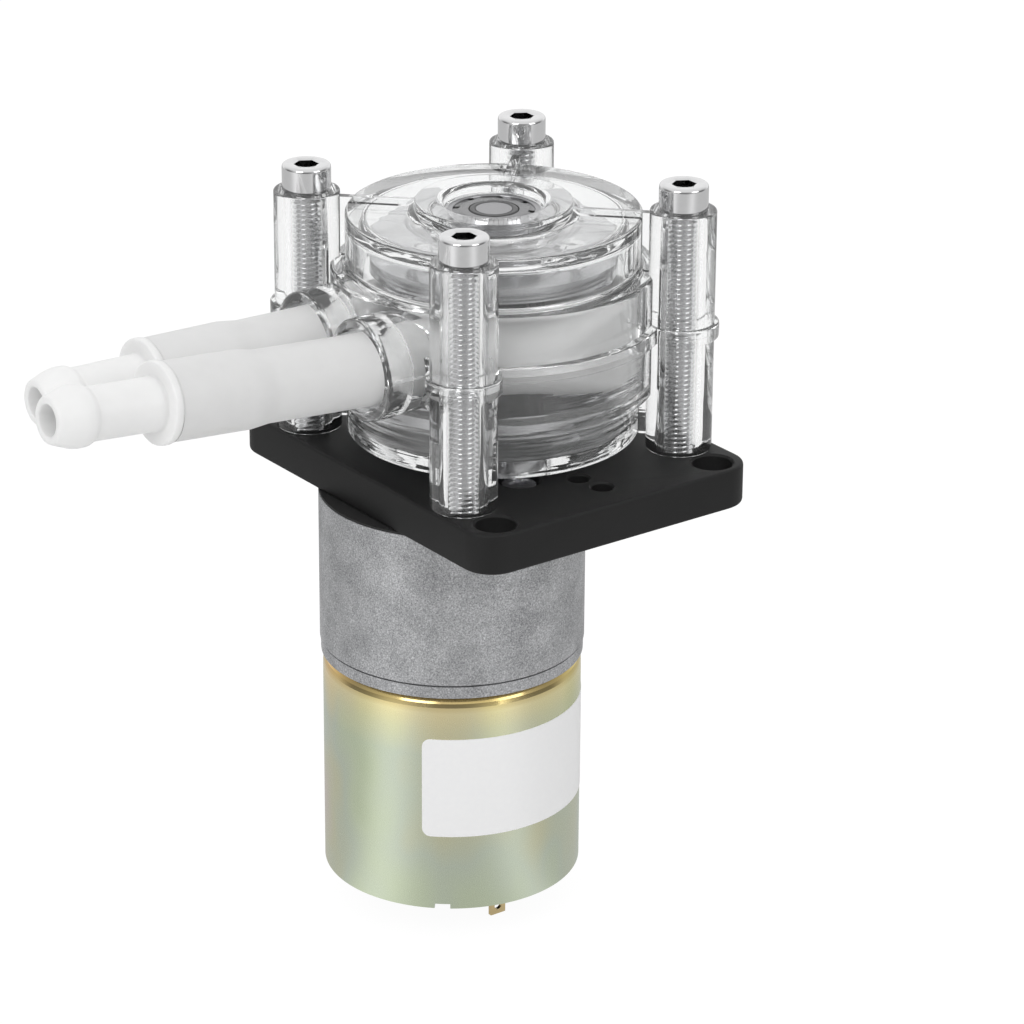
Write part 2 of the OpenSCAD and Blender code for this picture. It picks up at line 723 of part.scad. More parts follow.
// Roller k with rounded ends and a shallow waist line at each end
module roller(k) {
  bevel = 0.5;
  color([0.8, 0.8, 0.82]) translate([roller_place(k)[0], roller_place(k)[1], 0])
    rotate_extrude() polygon([
      [pin_r + run_gap, roller_low], [roller_r - bevel, roller_low], [roller_r, roller_low + bevel],
      [roller_r, roller_high - bevel], [roller_r - bevel, roller_high],
      [pin_r + run_gap, roller_high]
    ]);
}

module roller_1() { roller(0); }
module roller_2() { roller(1); }
module roller_3() { roller(2); }

// Head bearing

module bearing_race(r_in, r_out) {
  difference() {
    translate([0, 0, bearing_low]) ring(r_in, r_out, bearing_w);
    translate([0, 0, bearing_low + bearing_w / 2]) rotate_extrude()
      translate([ball_orbit, 0]) circle(r = ball_r + groove_gap, $fn = 32);
  }
}

module bearing_outer_ring() {
  color([0.72, 0.72, 0.74]) bearing_race(bearing_r - ring_t, bearing_r);
}

module bearing_inner_ring() {
  color([0.72, 0.72, 0.74]) bearing_race(bearing_bore_r, bearing_bore_r + ring_t);
}

module bearing_balls() {
  color([0.8, 0.8, 0.82]) for (i = [0:ball_count - 1]) rotate([0, 0, i * 360 / ball_count])
    translate([ball_orbit, 0, bearing_low + bearing_w / 2]) sphere(r = ball_r, $fn = 32);
}

module bearing_cage() {
  cage_t = 0.5;
  cage_h = 2 * ball_r + 0.5;
  color([0.7, 0.62, 0.4]) difference() {
    translate([0, 0, bearing_low + (bearing_w - cage_h) / 2])
      ring(ball_orbit - cage_t / 2, ball_orbit + cage_t / 2, cage_h);
    for (i = [0:ball_count - 1]) rotate([0, 0, i * 360 / ball_count])
      translate([ball_orbit, 0, bearing_low + bearing_w / 2]) sphere(r = ball_r + 0.03, $fn = 32);
  }
}

module bearing_shields() {
  shield_t = 0.3;
  shield_in = bearing_bore_r + ring_t + 0.1;
  color([0.35, 0.35, 0.36]) for (z = [bearing_low + 0.25, bearing_top - 0.25 - shield_t])
    translate([0, 0, z]) ring(shield_in, bearing_r - ring_t, shield_t);
}

// Gear motor

module at_motor() {
  translate([-motor_offset, 0, 0]) children();
}

module gearbox_housing() {
  color([0.6, 0.61, 0.62]) difference() {
    union() {
      difference() {
        at_motor() translate([0, 0, gearbox_under]) cylinder(h = gearbox_l, r = gearbox_r);
        at_motor() translate([0, 0, gearbox_under - 1])
          cylinder(h = case_ceiling - gearbox_under + 1, r = gearbox_r - case_wall);
      }
      translate([0, 0, gear_face - bush_depth]) cylinder(h = bush_depth - eps, r = case_boss_r);
      translate([0, 0, gear_face - eps]) cylinder(h = pilot_h, r = pilot_r);
    }
    translate([0, 0, gear_face - bush_depth - 1])
      cylinder(h = bush_depth + pilot_h + 2, r = shaft_r + bush_wall);
    at_gear_screws() translate([0, 0, gear_face - screw_l]) cylinder(h = screw_l + 1, r = screw_d / 2);
    at_axles() translate([0, 0, case_ceiling - 1]) cylinder(h = 1 + axle_seat, r = axle_r);
  }
}

module output_bush() {
  color([0.72, 0.55, 0.3]) translate([0, 0, gear_face - bush_depth])
    ring(shaft_r + run_gap, shaft_r + bush_wall, bush_depth + pilot_h - 0.3);
}

module gearbox_end_plate() {
  seam_h = 0.3;
  seam_depth = 0.45;
  rim_step = 0.15;
  color([0.62, 0.63, 0.64]) difference() {
    at_motor() union() {
      translate([0, 0, can_top]) cylinder(h = end_plate_t - seam_h, r = gearbox_r - rim_step);
      translate([0, 0, can_top]) cylinder(h = end_plate_t, r = gearbox_r - rim_step - seam_depth);
    }
    at_motor() translate([0, 0, can_top - 1]) cylinder(h = end_plate_t + 2, r = motor_hole_r);
    at_axles() translate([0, 0, gearbox_under - axle_seat]) cylinder(h = axle_seat + 1, r = axle_r);
  }
}

// Gear train from the motor pinion over two compound gears to the output gear

// Involute function of an angle, both in degrees
function involute(a) = tan(a) * 180 / PI - a;

// Half the angle of a tooth at a radius: it shrinks along the involute of the base circle
function tooth_half_angle(n, r) = let (
    pitch_r = gear_module * n / 2,
    base_r = pitch_r * cos(pressure_a),
    a = r > base_r ? acos(base_r / r) : 0
  ) 90 / n - tooth_play / pitch_r * 90 / PI + involute(pressure_a) - involute(a);

// Outline of a gear, with a tooth at angle 0: up each tooth's one flank and down its other
function gear_outline(n) = [for (k = [0:n - 1], s = [-1, 1], i = [0:len(flank_at) - 1])
  let (
    r = gear_module * (n / 2 + flank_at[s < 0 ? i : len(flank_at) - 1 - i]),
    a = 360 * k / n + s * tooth_half_angle(n, r)
  ) [r * cos(a), r * sin(a)]];

module toothed(n, h) {
  linear_extrude(h) polygon(gear_outline(n));
}

// Puts a child on an axle, turned by its mesh phase
module on_axle(place, phase) {
  translate([place[0], place[1], 0]) rotate([0, 0, phase]) children();
}

// Wheel and pinion in one piece
module compound_gear(place, phase, wheel_low, pinion_l) {
  color([0.78, 0.7, 0.45]) on_axle(place, phase) difference() {
    union() {
      translate([0, 0, wheel_low]) toothed(wheel_teeth, wheel_t);
      translate([0, 0, wheel_low + wheel_t - eps]) toothed(pinion_teeth, pinion_l);
    }
    translate([0, 0, wheel_low - 1]) cylinder(h = wheel_t + pinion_l + 2, r = axle_r + run_gap, $fn = 32);
  }
}

module gear_1() { compound_gear(axle_1, phase_1, wheel_1_low, pinion_1_l); }
module gear_2() { compound_gear(axle_2, phase_2, wheel_2_low, pinion_2_l); }

module output_gear() {
  color([0.72, 0.72, 0.74]) translate([0, 0, output_gear_low]) difference() {
    toothed(wheel_teeth, output_gear_t);
    translate([0, 0, -1]) cylinder(h = output_gear_t + 2, r = shaft_r);
  }
}

module at_axles() {
  for (p = [axle_1, axle_2]) translate([p[0], p[1], 0]) children();
}

// Fixed axles, with the spacers that keep each gear at its height
module gear_axles() {
  spacer_r = mesh_distance - gear_module * wheel_reach - spacer_gap;
  play = 0.05;
  low = gearbox_under - axle_seat;
  high = case_ceiling + axle_seat;
  color([0.75, 0.75, 0.77])
    for (g = [[axle_1, wheel_1_low, pinion_1_l], [axle_2, wheel_2_low, pinion_2_l]])
      translate([g[0][0], g[0][1], 0]) rotate_extrude($fn = 32) polygon([
        [0, low], [axle_r, low], [axle_r, gearbox_under], [spacer_r, gearbox_under],
        [spacer_r, g[1] - play], [axle_r, g[1] - play],
        [axle_r, g[1] + wheel_t + g[2] + play], [spacer_r, g[1] + wheel_t + g[2] + play],
        [spacer_r, case_ceiling], [axle_r, case_ceiling], [axle_r, high], [0, high]
      ]);
}

// Shaft of the motor with its pinion, running in a bore of the motor core
module motor_shaft() {
  pinion_low = gearbox_under + 0.8;
  pinion_l = 4;
  color([0.75, 0.75, 0.77]) at_motor() union() {
    translate([0, 0, can_top - motor_bore_depth + 0.2])
      cylinder(h = pinion_low + pinion_l - can_top + motor_bore_depth - 0.2, r = motor_shaft_r, $fn = 32);
    translate([0, 0, pinion_low]) rotate([0, 0, phase_motor]) toothed(pinion_teeth, pinion_l);
  }
}

// Half profile of the drawn motor can, closed on top and open below
module can_profile() {
  steps = 6;
  shoulder = [for (i = [0:steps]) let (a = 90 * i / steps)
    [can_r - can_round + can_round * cos(a), can_top - can_round + can_round * sin(a)]];
  polygon(concat([[can_r - can_wall, can_bottom], [can_r, can_bottom]], shoulder,
    [[motor_hole_r, can_top], [motor_hole_r, can_top - can_wall],
     [can_r - can_wall - 1, can_top - can_wall],
     [can_r - can_wall, can_top - can_wall - 1]]));
}

module motor_can() {
  notch_w = 2.2;
  notch_h = 0.7;
  // Notch direction seen from the motor axis
  notch_a = 230;
  color([0.72, 0.72, 0.6]) at_motor() difference() {
    rotate_extrude() can_profile();
    rotate([0, 0, notch_a]) translate([can_r - 2, -notch_w / 2, can_bottom - 1])
      cube([4, notch_w, notch_h + 1]);
  }
}

// Closed core of the motor, with its brush cover flush in the can's mouth
module motor_end_cap() {
  recess = 0.8;
  boss_r2 = 5;
  color([0.25, 0.25, 0.26]) at_motor() difference() {
    union() {
      translate([0, 0, can_bottom + recess])
        cylinder(h = can_l - can_wall - recess - 0.1, r = can_r - can_wall - 0.02);
      translate([0, 0, can_bottom - 1]) cylinder(h = 3, r = boss_r2);
    }
    translate([0, 0, can_bottom - 2]) cylinder(h = 3, r = 1.2);
    translate([0, 0, can_top - motor_bore_depth])
      cylinder(h = motor_bore_depth + 1, r = motor_shaft_r + run_gap);
    for (s = [-1, 1]) translate([-1.5, s * tab_y - 0.4, can_bottom - 1]) cube([3, 0.8, 4]);
    translate([0, 0, can_top - can_wall - 1.2]) ring(can_r - can_wall - 1.2, can_r, 2);
  }
}

module motor_terminals() {
  tab_w = 2.6;
  tab_t = 0.6;
  color([0.7, 0.55, 0.25]) at_motor() for (s = [-1, 1]) difference() {
    translate([-tab_w / 2, s * tab_y - tab_t / 2, can_bottom - tab_l]) cube([tab_w, tab_t, tab_l + 3]);
    translate([0, s * tab_y - 2, can_bottom - tab_l + 1.3]) rotate([-90, 0, 0]) cylinder(h = 4, r = 0.6);
  }
}

mounting_plate();
gearbox_gasket();
lower_housing();
upper_housing();
housing_bolts();
pump_tube();
front_fitting();
rear_fitting();
output_shaft();
rotor_hub();
rotor_lower_plate();
rotor_upper_plate();
roller_pins();
roller_1();
roller_2();
roller_3();
bearing_outer_ring();
bearing_inner_ring();
bearing_balls();
bearing_cage();
bearing_shields();
gearbox_housing();
output_bush();
gearbox_end_plate();
gearbox_screws();
output_gear();
gear_2();
gear_1();
gear_axles();
motor_shaft();
motor_can();
motor_end_cap();
motor_terminals();
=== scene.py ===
# %% [markdown]
# # A peristaltic metering pump
# The pump is a clear roller head on a black plate, with a gear motor hanging under it. Its
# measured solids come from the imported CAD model, which is loaded here as a fixed frame. This
# script gives every piece its finish, and rebuilds those whose looks need finer shapes than CAD
# gives: threads, rounded rims, the soft tube. Lengths in it are millimetres, in the CAD's frame.

import json
from contextlib import contextmanager
from functools import partialmethod

import bmesh
import bpy
import numpy as np
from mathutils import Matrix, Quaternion, Vector

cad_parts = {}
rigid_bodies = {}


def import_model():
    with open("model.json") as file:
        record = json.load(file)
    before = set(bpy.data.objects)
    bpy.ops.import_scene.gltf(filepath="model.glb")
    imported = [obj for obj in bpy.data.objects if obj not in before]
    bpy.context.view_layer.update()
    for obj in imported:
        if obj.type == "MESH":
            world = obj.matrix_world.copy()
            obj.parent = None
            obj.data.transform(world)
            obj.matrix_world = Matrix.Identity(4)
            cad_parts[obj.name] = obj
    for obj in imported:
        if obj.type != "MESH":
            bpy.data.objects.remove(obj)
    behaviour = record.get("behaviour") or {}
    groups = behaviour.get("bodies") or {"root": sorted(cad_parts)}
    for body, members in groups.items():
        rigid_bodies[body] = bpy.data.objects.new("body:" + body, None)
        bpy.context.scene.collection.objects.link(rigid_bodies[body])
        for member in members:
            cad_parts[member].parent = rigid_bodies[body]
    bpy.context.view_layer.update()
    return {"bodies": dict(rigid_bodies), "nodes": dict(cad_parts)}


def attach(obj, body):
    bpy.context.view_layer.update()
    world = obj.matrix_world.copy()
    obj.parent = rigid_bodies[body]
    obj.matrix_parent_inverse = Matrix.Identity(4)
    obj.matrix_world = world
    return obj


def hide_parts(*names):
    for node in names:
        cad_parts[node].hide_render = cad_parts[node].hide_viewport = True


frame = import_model()
nodes = frame["nodes"]
MM = 0.001
print("CAD nodes:", len(nodes))


def stand(name, data):
    """A new object that shows some data: a mesh, a lamp or a camera."""
    made = bpy.data.objects.new(name, data)
    bpy.context.scene.collection.objects.link(made)
    return made

# %% [markdown]
# The camera's angle and distance were fitted to the photograph, by bolt axes and plate corners. A
# long lens keeps the vertical edges nearly parallel. It aims a little off the rotor axis, so that
# the picture's middle falls where the photograph's does, without any lens shift.

# %% Camera
PLATE_T = 5.8
PIXELS = 1024
FOCAL_PX = 4367.87
ROLL = 0.0066
CAMERA_FROM = np.array([-0.5509, -0.7465, 0.3733])
CAMERA_FAR = 609.75
CAMERA_AT = CAMERA_FROM * CAMERA_FAR + [0, 0, PLATE_T]
CENTRE_OFF_PX = (512 - 492.5, 512 - 434.5)

right = np.array([0.8046, -0.5938, 0.0])
up = np.array([0.2217, 0.3004, 0.9277])
aim = -CAMERA_FROM * FOCAL_PX + right * CENTRE_OFF_PX[0] - up * CENTRE_OFF_PX[1]

camera = stand("camera", bpy.data.cameras.new("camera"))
camera.data.lens = FOCAL_PX / PIXELS * camera.data.sensor_width
camera.data.clip_start, camera.data.clip_end = 0.01, 20
camera.location = CAMERA_AT * MM
turn = Vector(aim).to_track_quat("-Z", "Y") @ Quaternion((0, 0, 1), ROLL)
camera.rotation_euler = turn.to_euler()
bpy.context.scene.camera = camera
print("lens in mm:", round(camera.data.lens, 1))

# %% [markdown]
# Finishes are node trees, and trees are hard to read. Two small classes let them be written as
# sums. A Value wraps one socket, and arithmetic on Values adds Math nodes, as do numpy's
# functions. A Finish is a material whose methods make all other nodes.

# %% Shader maths
class Value:
    """One output socket of a node tree, to calculate with."""

    def __init__(self, finish, socket):
        self.finish, self.socket = finish, socket

    def maths(self, operation, *others, clamp=False):
        """The Math node of that operation, on this value and the others."""
        return self.finish.node("ShaderNodeMath", enumerate((self, *others)),
                                operation=operation, use_clamp=clamp)

    def __array_ufunc__(self, function, method, *values):
        """What numpy's functions, such as np.cos, do with Values."""
        name = function.__name__
        operation = {"cos": "COSINE", "sin": "SINE", "exp": "EXPONENT"}.get(name, name.upper())
        return self.finish.node("ShaderNodeMath", enumerate(values), operation=operation)

    def __rsub__(self, other):
        return (self * -1) + other

    __add__ = __radd__ = partialmethod(maths, "ADD")
    __mul__ = __rmul__ = partialmethod(maths, "MULTIPLY")
    __sub__, __truediv__ = partialmethod(maths, "SUBTRACT"), partialmethod(maths, "DIVIDE")
    __pow__, __abs__ = partialmethod(maths, "POWER"), partialmethod(maths, "ABSOLUTE")
    __gt__, __lt__ = partialmethod(maths, "GREATER_THAN"), partialmethod(maths, "LESS_THAN")

    def clamped(self):
        """The value held between 0 and 1."""
        return self.maths("ADD", 0, clamp=True)


class Finish:
    """A material, or a world, whose nodes are made from plain calls."""

    def __init__(self, name, world=False):
        self.world = world
        self.material = (bpy.data.worlds if world else bpy.data.materials).new(name)
        self.material.use_nodes = True
        self.tree = self.material.node_tree
        self.tree.nodes.clear()

    def node(self, kind, inputs=(), out=0, **settings):
        """A node of that kind. Its inputs are numbers, colours or Values."""
        n = self.tree.nodes.new(kind)
        for key, value in settings.items():
            setattr(n, key, value)
        for key, value in dict(inputs).items():
            if isinstance(value, Value):
                self.tree.links.new(value.socket, n.inputs[key])
            elif hasattr(value, "__len__") and len(value) < len(n.inputs[key].default_value):
                n.inputs[key].default_value = (*value, 1)
            else:
                n.inputs[key].default_value = value
        return Value(self, n.outputs[out])

    def vector(self, operation, first, second=(0, 0, 0), out=0):
        """Arithmetic on vectors. What scales a vector is a single number."""
        return self.node("ShaderNodeVectorMath", {
            0: first, "Scale" if operation == "SCALE" else 1: second}, out, operation=operation)

    def split(self, vector):
        """The x, y and z of a vector."""
        first = self.node("ShaderNodeSeparateXYZ", {0: vector})
        return [Value(self, socket) for socket in first.socket.node.outputs]

    def place(self, scale=(1, 1, 1), centre=(0, 0, 0)):
        """Object coordinates in millimetres, counted from a centre and stretched by a scale."""
        at = self.node("ShaderNodeTexCoord", out="Object")
        return self.vector("MULTIPLY", self.vector("SUBTRACT", at, tuple(c * MM for c in centre)),
                           tuple(s / MM for s in scale))

    def noise(self, place, scale, detail=3, rough=0.5):
        """Cloudy noise from 0 to 1, with scale in spots per unit of place."""
        return self.node("ShaderNodeTexNoise", {
            "Vector": place, "Scale": scale, "Detail": detail, "Roughness": rough})

    def mix(self, share, first, second, **settings):
        """The first colour where share is 0 and the second where it is 1."""
        return self.node("ShaderNodeMix", {0: share, 6: first, 7: second}, 2,
                         data_type="RGBA", **settings)

    def ramp(self, value, *stops):
        """A colour read off a ramp of (position, colour) stops."""
        colour = self.node("ShaderNodeValToRGB", {0: value})
        elements = colour.socket.node.color_ramp.elements
        while len(elements) < len(stops):
            elements.new(1)
        for element, (at, shade) in zip(elements, stops):
            element.position, element.color = at, (*shade, 1)
        return colour

    def bump(self, height, depth, strength=1.0):
        """The normal of a surface that rises by up to depth, in millimetres, with the height."""
        return self.node("ShaderNodeBump", {
            "Height": height, "Distance": depth * MM, "Strength": strength})

    def ray(self, kind):
        """1 for the rays of that kind and 0 for all others."""
        return self.node("ShaderNodeLightPath", out="Is %s Ray" % kind)

    def blend(self, share, first, second):
        """The first shader where share is 0 and the second where it is 1."""
        return self.node("ShaderNodeMixShader", {0: share, 1: first, 2: second})

    def surface(self, **inputs):
        """Ends the material in a Principled shader. Input names are written with underscores."""
        named = {key.replace("_", " "): value for key, value in inputs.items()}
        shader = self.node("ShaderNodeBsdfPrincipled", named)
        self.end(shader)
        return shader

    def end(self, shader):
        """Makes that shader the material's surface."""
        kind = "ShaderNodeOutputWorld" if self.world else "ShaderNodeOutputMaterial"
        out = self.tree.nodes.get("out") or self.tree.nodes.new(kind)
        out.name = "out"
        self.tree.links.new(shader.socket, out.inputs["Surface"])


def clouded(name, spots, low, high, roughness, depth, strength=1.0, detail=3, **more):
    """A plain material: noise with some spots per millimetre mixes two close colours, and the
    surface rises with it."""
    f = Finish(name)
    cloud = f.noise(f.place(), spots, detail)
    f.surface(Base_Color=f.mix(cloud, low, high), Roughness=roughness,
              Normal=f.bump(cloud, depth, strength), **more)
    return f

# %% [markdown]
# New pieces are grids of points that numpy works out in one go. No corner of a real part is quite
# sharp, so a profile's corners can be eased first.

# %% Shape helpers
def eased(corners, radius, steps=4):
    """A closed profile with each corner P replaced by the curve (1-t)^2 A + 2t(1-t) P + t^2 B,
    where A and B lie a radius away on its two sides."""
    p = np.asarray(corners, float)
    back, ahead = np.roll(p, 1, 0) - p, np.roll(p, -1, 0) - p
    reach = np.minimum(np.linalg.norm(back, axis=1), np.linalg.norm(ahead, axis=1)) * 0.45
    reach = np.minimum(np.broadcast_to(np.asarray(radius, float), reach.shape), reach)[:, None]
    a = p + back / np.linalg.norm(back, axis=1)[:, None] * reach
    b = p + ahead / np.linalg.norm(ahead, axis=1)[:, None] * reach
    t = np.linspace(0, 1, steps + 1)[None, :, None]
    curve = (1 - t) ** 2 * a[:, None] + 2 * t * (1 - t) * p[:, None] + t ** 2 * b[:, None]
    return curve.reshape(-1, 2)


def azimuths(around):
    """Directions round an axis, evenly spread over the whole turn."""
    return np.arange(around) * 2 * np.pi / around


def polar(r, a, z, centre=(0, 0)):
    """Points round a vertical axis: (x + r cos a, y + r sin a, z)."""
    x, y = centre[0] + r * np.cos(a), centre[1] + r * np.sin(a)
    return np.stack(np.broadcast_arrays(x, y, z), -1)


def grid(points, wrap_rows=False, wrap_columns=True):
    """A shape from rows of points. Its quads join each point to the next row and column."""
    rows, columns = points.shape[:2]
    i, j = np.meshgrid(np.arange(rows - (not wrap_rows)),
                       np.arange(columns - (not wrap_columns)), indexing="ij")
    i, j = i.ravel(), j.ravel()
    i2, j2 = (i + 1) % rows, (j + 1) % columns
    faces = np.stack([i * columns + j, i2 * columns + j, i2 * columns + j2, i * columns + j2], 1)
    return points.reshape(-1, 3), faces


def turned(profile, around=128, centre=(0, 0)):
    """A closed profile of (radius, height) carried round a vertical axis."""
    r, z = np.asarray(profile, float).T[:, :, None]
    return grid(polar(r, azimuths(around), z, centre), True)


def joined(*shapes):
    """Several (points, faces) pairs as one."""
    offsets = np.cumsum([0] + [len(p) for p, _ in shapes[:-1]])
    return (np.concatenate([p for p, _ in shapes]),
            np.concatenate([f + o for (_, f), o in zip(shapes, offsets)]))


def dress(node, finish):
    """Gives a CAD node, whose shape is right as it is, its finish."""
    mesh = nodes[node].data
    mesh.materials.clear()
    mesh.materials.append(finish.material)


@contextmanager
def editing(mesh, sharp):
    """Hands a mesh out for edits. After them, only edges sharper than the angle stay hard."""
    work = bmesh.new()
    work.from_mesh(mesh)
    yield work
    work.to_mesh(mesh)
    work.free()
    mesh.shade_smooth()
    mesh.set_sharp_from_angle(angle=np.radians(sharp))


def piece(name, shape, finish, stands_for=(), body="pump_base", sharp=40):
    """A new object from points in millimetres and faces. A tool that only cuts another
    piece has no body to ride on."""
    mesh = bpy.data.meshes.new(name)
    mesh.from_pydata((shape[0] * MM).tolist(), [], shape[1].tolist())
    with editing(mesh, sharp) as work:
        bmesh.ops.remove_doubles(work, verts=work.verts, dist=1e-7)
        bmesh.ops.dissolve_degenerate(work, edges=work.edges, dist=1e-8)
        bmesh.ops.recalc_face_normals(work, faces=work.faces)
    mesh.materials.append(finish.material)
    made = stand(name, mesh)
    if body:
        settle(made, stands_for, body)
    return made


def settle(made, stands_for, body="pump_base"):
    """Puts a finished piece on its body and in the place of its CAD nodes."""
    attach(made, body)
    if stands_for:
        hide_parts(*stands_for)
    print(made.name, len(made.data.polygons), "faces")

# %% [markdown]
# Heights are counted from the plate's underside. The housing parts at the tube's height. The
# track is the wide band in the middle of the drum, and the rims stand above and below it.

# %% Sizes that the head shares with CAD
SPLIT_Z = PLATE_T + 17.6
BOSS_AT = 18.4
BOSS_R, BOSS_TOP = 4.6, PLATE_T + 34.7
TRACK_R, RIM_R, DRUM_R, RIM_OUT = 20.0, 18.0, 22.5, 20.4
TRACK_LOW, TRACK_HIGH = SPLIT_Z - 7.9, SPLIT_Z + 7.9
DRUM_LOW, FLOOR_TOP, DRUM_TOP = PLATE_T + 1.5, PLATE_T + 3.5, PLATE_T + 33.1
ROOF_UNDER, CROWN_R, CROWN_TOP = DRUM_TOP - 2.5, 10.9, DRUM_TOP + 1.5
BEARING_R, BEARING_BORE, RING_T = 6.5, 2.5, 0.9
BEARING_TOP = DRUM_TOP + 0.2
BEARING_LOW = BEARING_TOP - 4
EXIT_Y, SLEEVE_X, SLEEVE_R, CHANNEL_R = 6.5, 27.0, 7.1, 5.1
BEND_X, BEND_R, JOIN_A = -19.508, 12.0, 43.44
BOSSES = [(x, y) for x in (-BOSS_AT, BOSS_AT) for y in (-BOSS_AT, BOSS_AT)]

# %% [markdown]
# The head is moulded in clear plastic: a glass shader, with about 3% of plain white as the faint
# haze that lifts the darkest reflections. Lamps can't reach through glass in a path tracer, so
# shadow rays see it as clear, and what is inside stays lit. The lower drum has nearly level flow
# lines from its moulding, which bend the view into stacked bands.

# %% Clear plastic
def near_bosses(f):
    """A point's squared distance from the nearest boss axis, and its height."""
    x, y, z = f.split(f.place())
    x, y = (abs(side) - BOSS_AT for side in (x, y))
    return x * x + y * y, z


def clear_plastic():
    """Glass with a little haze, and fully clear to the shadow rays of lamps."""
    f = Finish("clear plastic")
    from_boss, height = near_bosses(f)
    drum = from_boss > (BOSS_R + 0.1) ** 2
    above_floor = ((height - (DRUM_LOW + 1)) / 1.5).clamped()
    below_split = ((SPLIT_Z - 3 - height) / 2).clamped()
    flow = f.noise(f.place((0.04, 0.04, 0.85)), 1.0, 2, 0.45) * drum * above_floor * below_split
    waves = f.noise(f.place(), 0.15, 2) * 0.35 + flow * 1.5
    shader = f.surface(Base_Color=(0.98, 0.985, 0.985), Roughness=0.004, IOR=1.47,
                       Transmission_Weight=0.968, Normal=f.bump(waves, 0.35, 0.5))
    open_way = f.node("ShaderNodeBsdfTransparent", {"Color": (0.98, 0.98, 0.98)})
    f.end(f.blend(f.ray("Shadow"), shader, open_way))
    return f


clear = clear_plastic()

# %% [markdown]
# The housing is a turned drum with four bosses, two sleeves, thin webs and a parting flange. CAD
# has the same forms with plain edges. Here their corners are eased, because the bright lines of a
# clear moulding come from its rounded rims. Boolean modifiers join and cut them, and then the
# whole is parted at the tube's height. A hair's breadth keeps faces from falling together.

# %% Housing
FLANGE_T, WEB_T, BOLT_HOLE_R, HAIR = 2.2, 1.2, 2.15, 0.01
DIAGONALS = (45, 135, 225, 315)


def along_x(shape, centre):
    """A shape turned about Z, laid over so that its axis runs along X through a centre."""
    x, y, z = shape[0].T
    return np.stack([z + centre[0], y + centre[1], -x + centre[2]], 1), shape[1]


def block(low, high):
    """A box between two corners."""
    corners = np.array([[x, y, z] for x in (0, 1) for y in (0, 1) for z in (0, 1)], float)
    points = np.asarray(low) + corners * (np.asarray(high, float) - low)
    return points, np.array([[0, 1, 3, 2], [4, 6, 7, 5], [0, 4, 5, 1], [2, 3, 7, 6],
                             [0, 2, 6, 4], [1, 5, 7, 3]])


def spun(shape, degrees):
    """A shape turned about the rotor axis."""
    a = np.radians(degrees)
    turn = np.array([[np.cos(a), np.sin(a), 0], [-np.sin(a), np.cos(a), 0], [0, 0, 1]])
    return shape[0] @ turn, shape[1]


def drum_profile():
    """The drum's half section: floor, low rim, wide track band, high rim, roof, bearing seat."""
    lip = BEARING_LOW - 0.9
    outer = [(7, DRUM_LOW), (RIM_OUT, DRUM_LOW), (RIM_OUT, TRACK_LOW - 1.7),
             (DRUM_R, TRACK_LOW - 1.7), (DRUM_R, TRACK_HIGH), (RIM_OUT, TRACK_HIGH),
             (RIM_OUT, DRUM_TOP), (CROWN_R + 0.9, DRUM_TOP), (CROWN_R, DRUM_TOP + 0.8),
             (CROWN_R, CROWN_TOP)]
    seat = [(BEARING_R + 1.2, CROWN_TOP), (BEARING_R + 0.4, CROWN_TOP - 0.5),
            (BEARING_R + 0.4, BEARING_TOP), (BEARING_R, BEARING_TOP), (BEARING_R, BEARING_LOW),
            (BEARING_R - RING_T, BEARING_LOW), (BEARING_R - RING_T, lip), (8.5, lip),
            (8.5, ROOF_UNDER)]
    inner = [(RIM_R, ROOF_UNDER), (RIM_R, TRACK_HIGH), (TRACK_R, TRACK_HIGH),
             (TRACK_R, TRACK_LOW), (RIM_R, TRACK_LOW), (RIM_R, FLOOR_TOP), (7, FLOOR_TOP)]
    outer_ease = [0.3, 0.7, 0.7, 0.7, 0.7, 0.7, 0.45, 0.7, 0.4, 0.5]
    seat_ease = [0.4, 0.3, 0.05, 0.05, 0.05, 0.05, 0.2, 0.3, 0.6]
    inner_ease = [0.8, 0.3, 0.15, 0.15, 0.3, 0.6, 0.2]
    return eased(outer + seat + inner, outer_ease + seat_ease + inner_ease, 5)


def rod(radius, low, high, centre=(0, 0), around=64, ease=0.0):
    """A closed cylinder, with eased rims."""
    half = np.array([(0, low), (radius, low), (radius, high), (0, high)])
    return turned(eased(half, [0, ease, ease, 0]) if ease else half, around, centre)


def channel(side):
    """The tube's way on one side: a long hole with a flared mouth, and the start of the bend."""
    bore = [(0, -SLEEVE_X - 1), (CHANNEL_R + 1.0, -SLEEVE_X - 1), (CHANNEL_R + 0.8, -SLEEVE_X),
            (CHANNEL_R + 0.25, -SLEEVE_X + 2.2), (CHANNEL_R, -SLEEVE_X + 4),
            (CHANNEL_R, BEND_X - 3), (CHANNEL_R + 0.8, BEND_X - 3), (CHANNEL_R + 0.8, BEND_X + 0.5),
            (0, BEND_X + 0.5)]
    straight = along_x(turned(bore, 64), (0, side * EXIT_Y, SPLIT_Z))
    a = np.radians(np.linspace(JOIN_A, 90, 24))[:, None]
    b = azimuths(48)
    reach = BEND_R + (CHANNEL_R + 0.7) * np.cos(b)
    bend = np.stack(np.broadcast_arrays(BEND_X + reach * np.cos(a),
                                        side * (EXIT_Y + BEND_R - reach * np.sin(a)),
                                        SPLIT_Z + (CHANNEL_R + 0.7) * np.sin(b)), -1)
    ends = bend[[0, -1]].mean(1, keepdims=True).repeat(48, 1)
    return straight, grid(np.concatenate([ends[:1], bend, ends[1:]]))


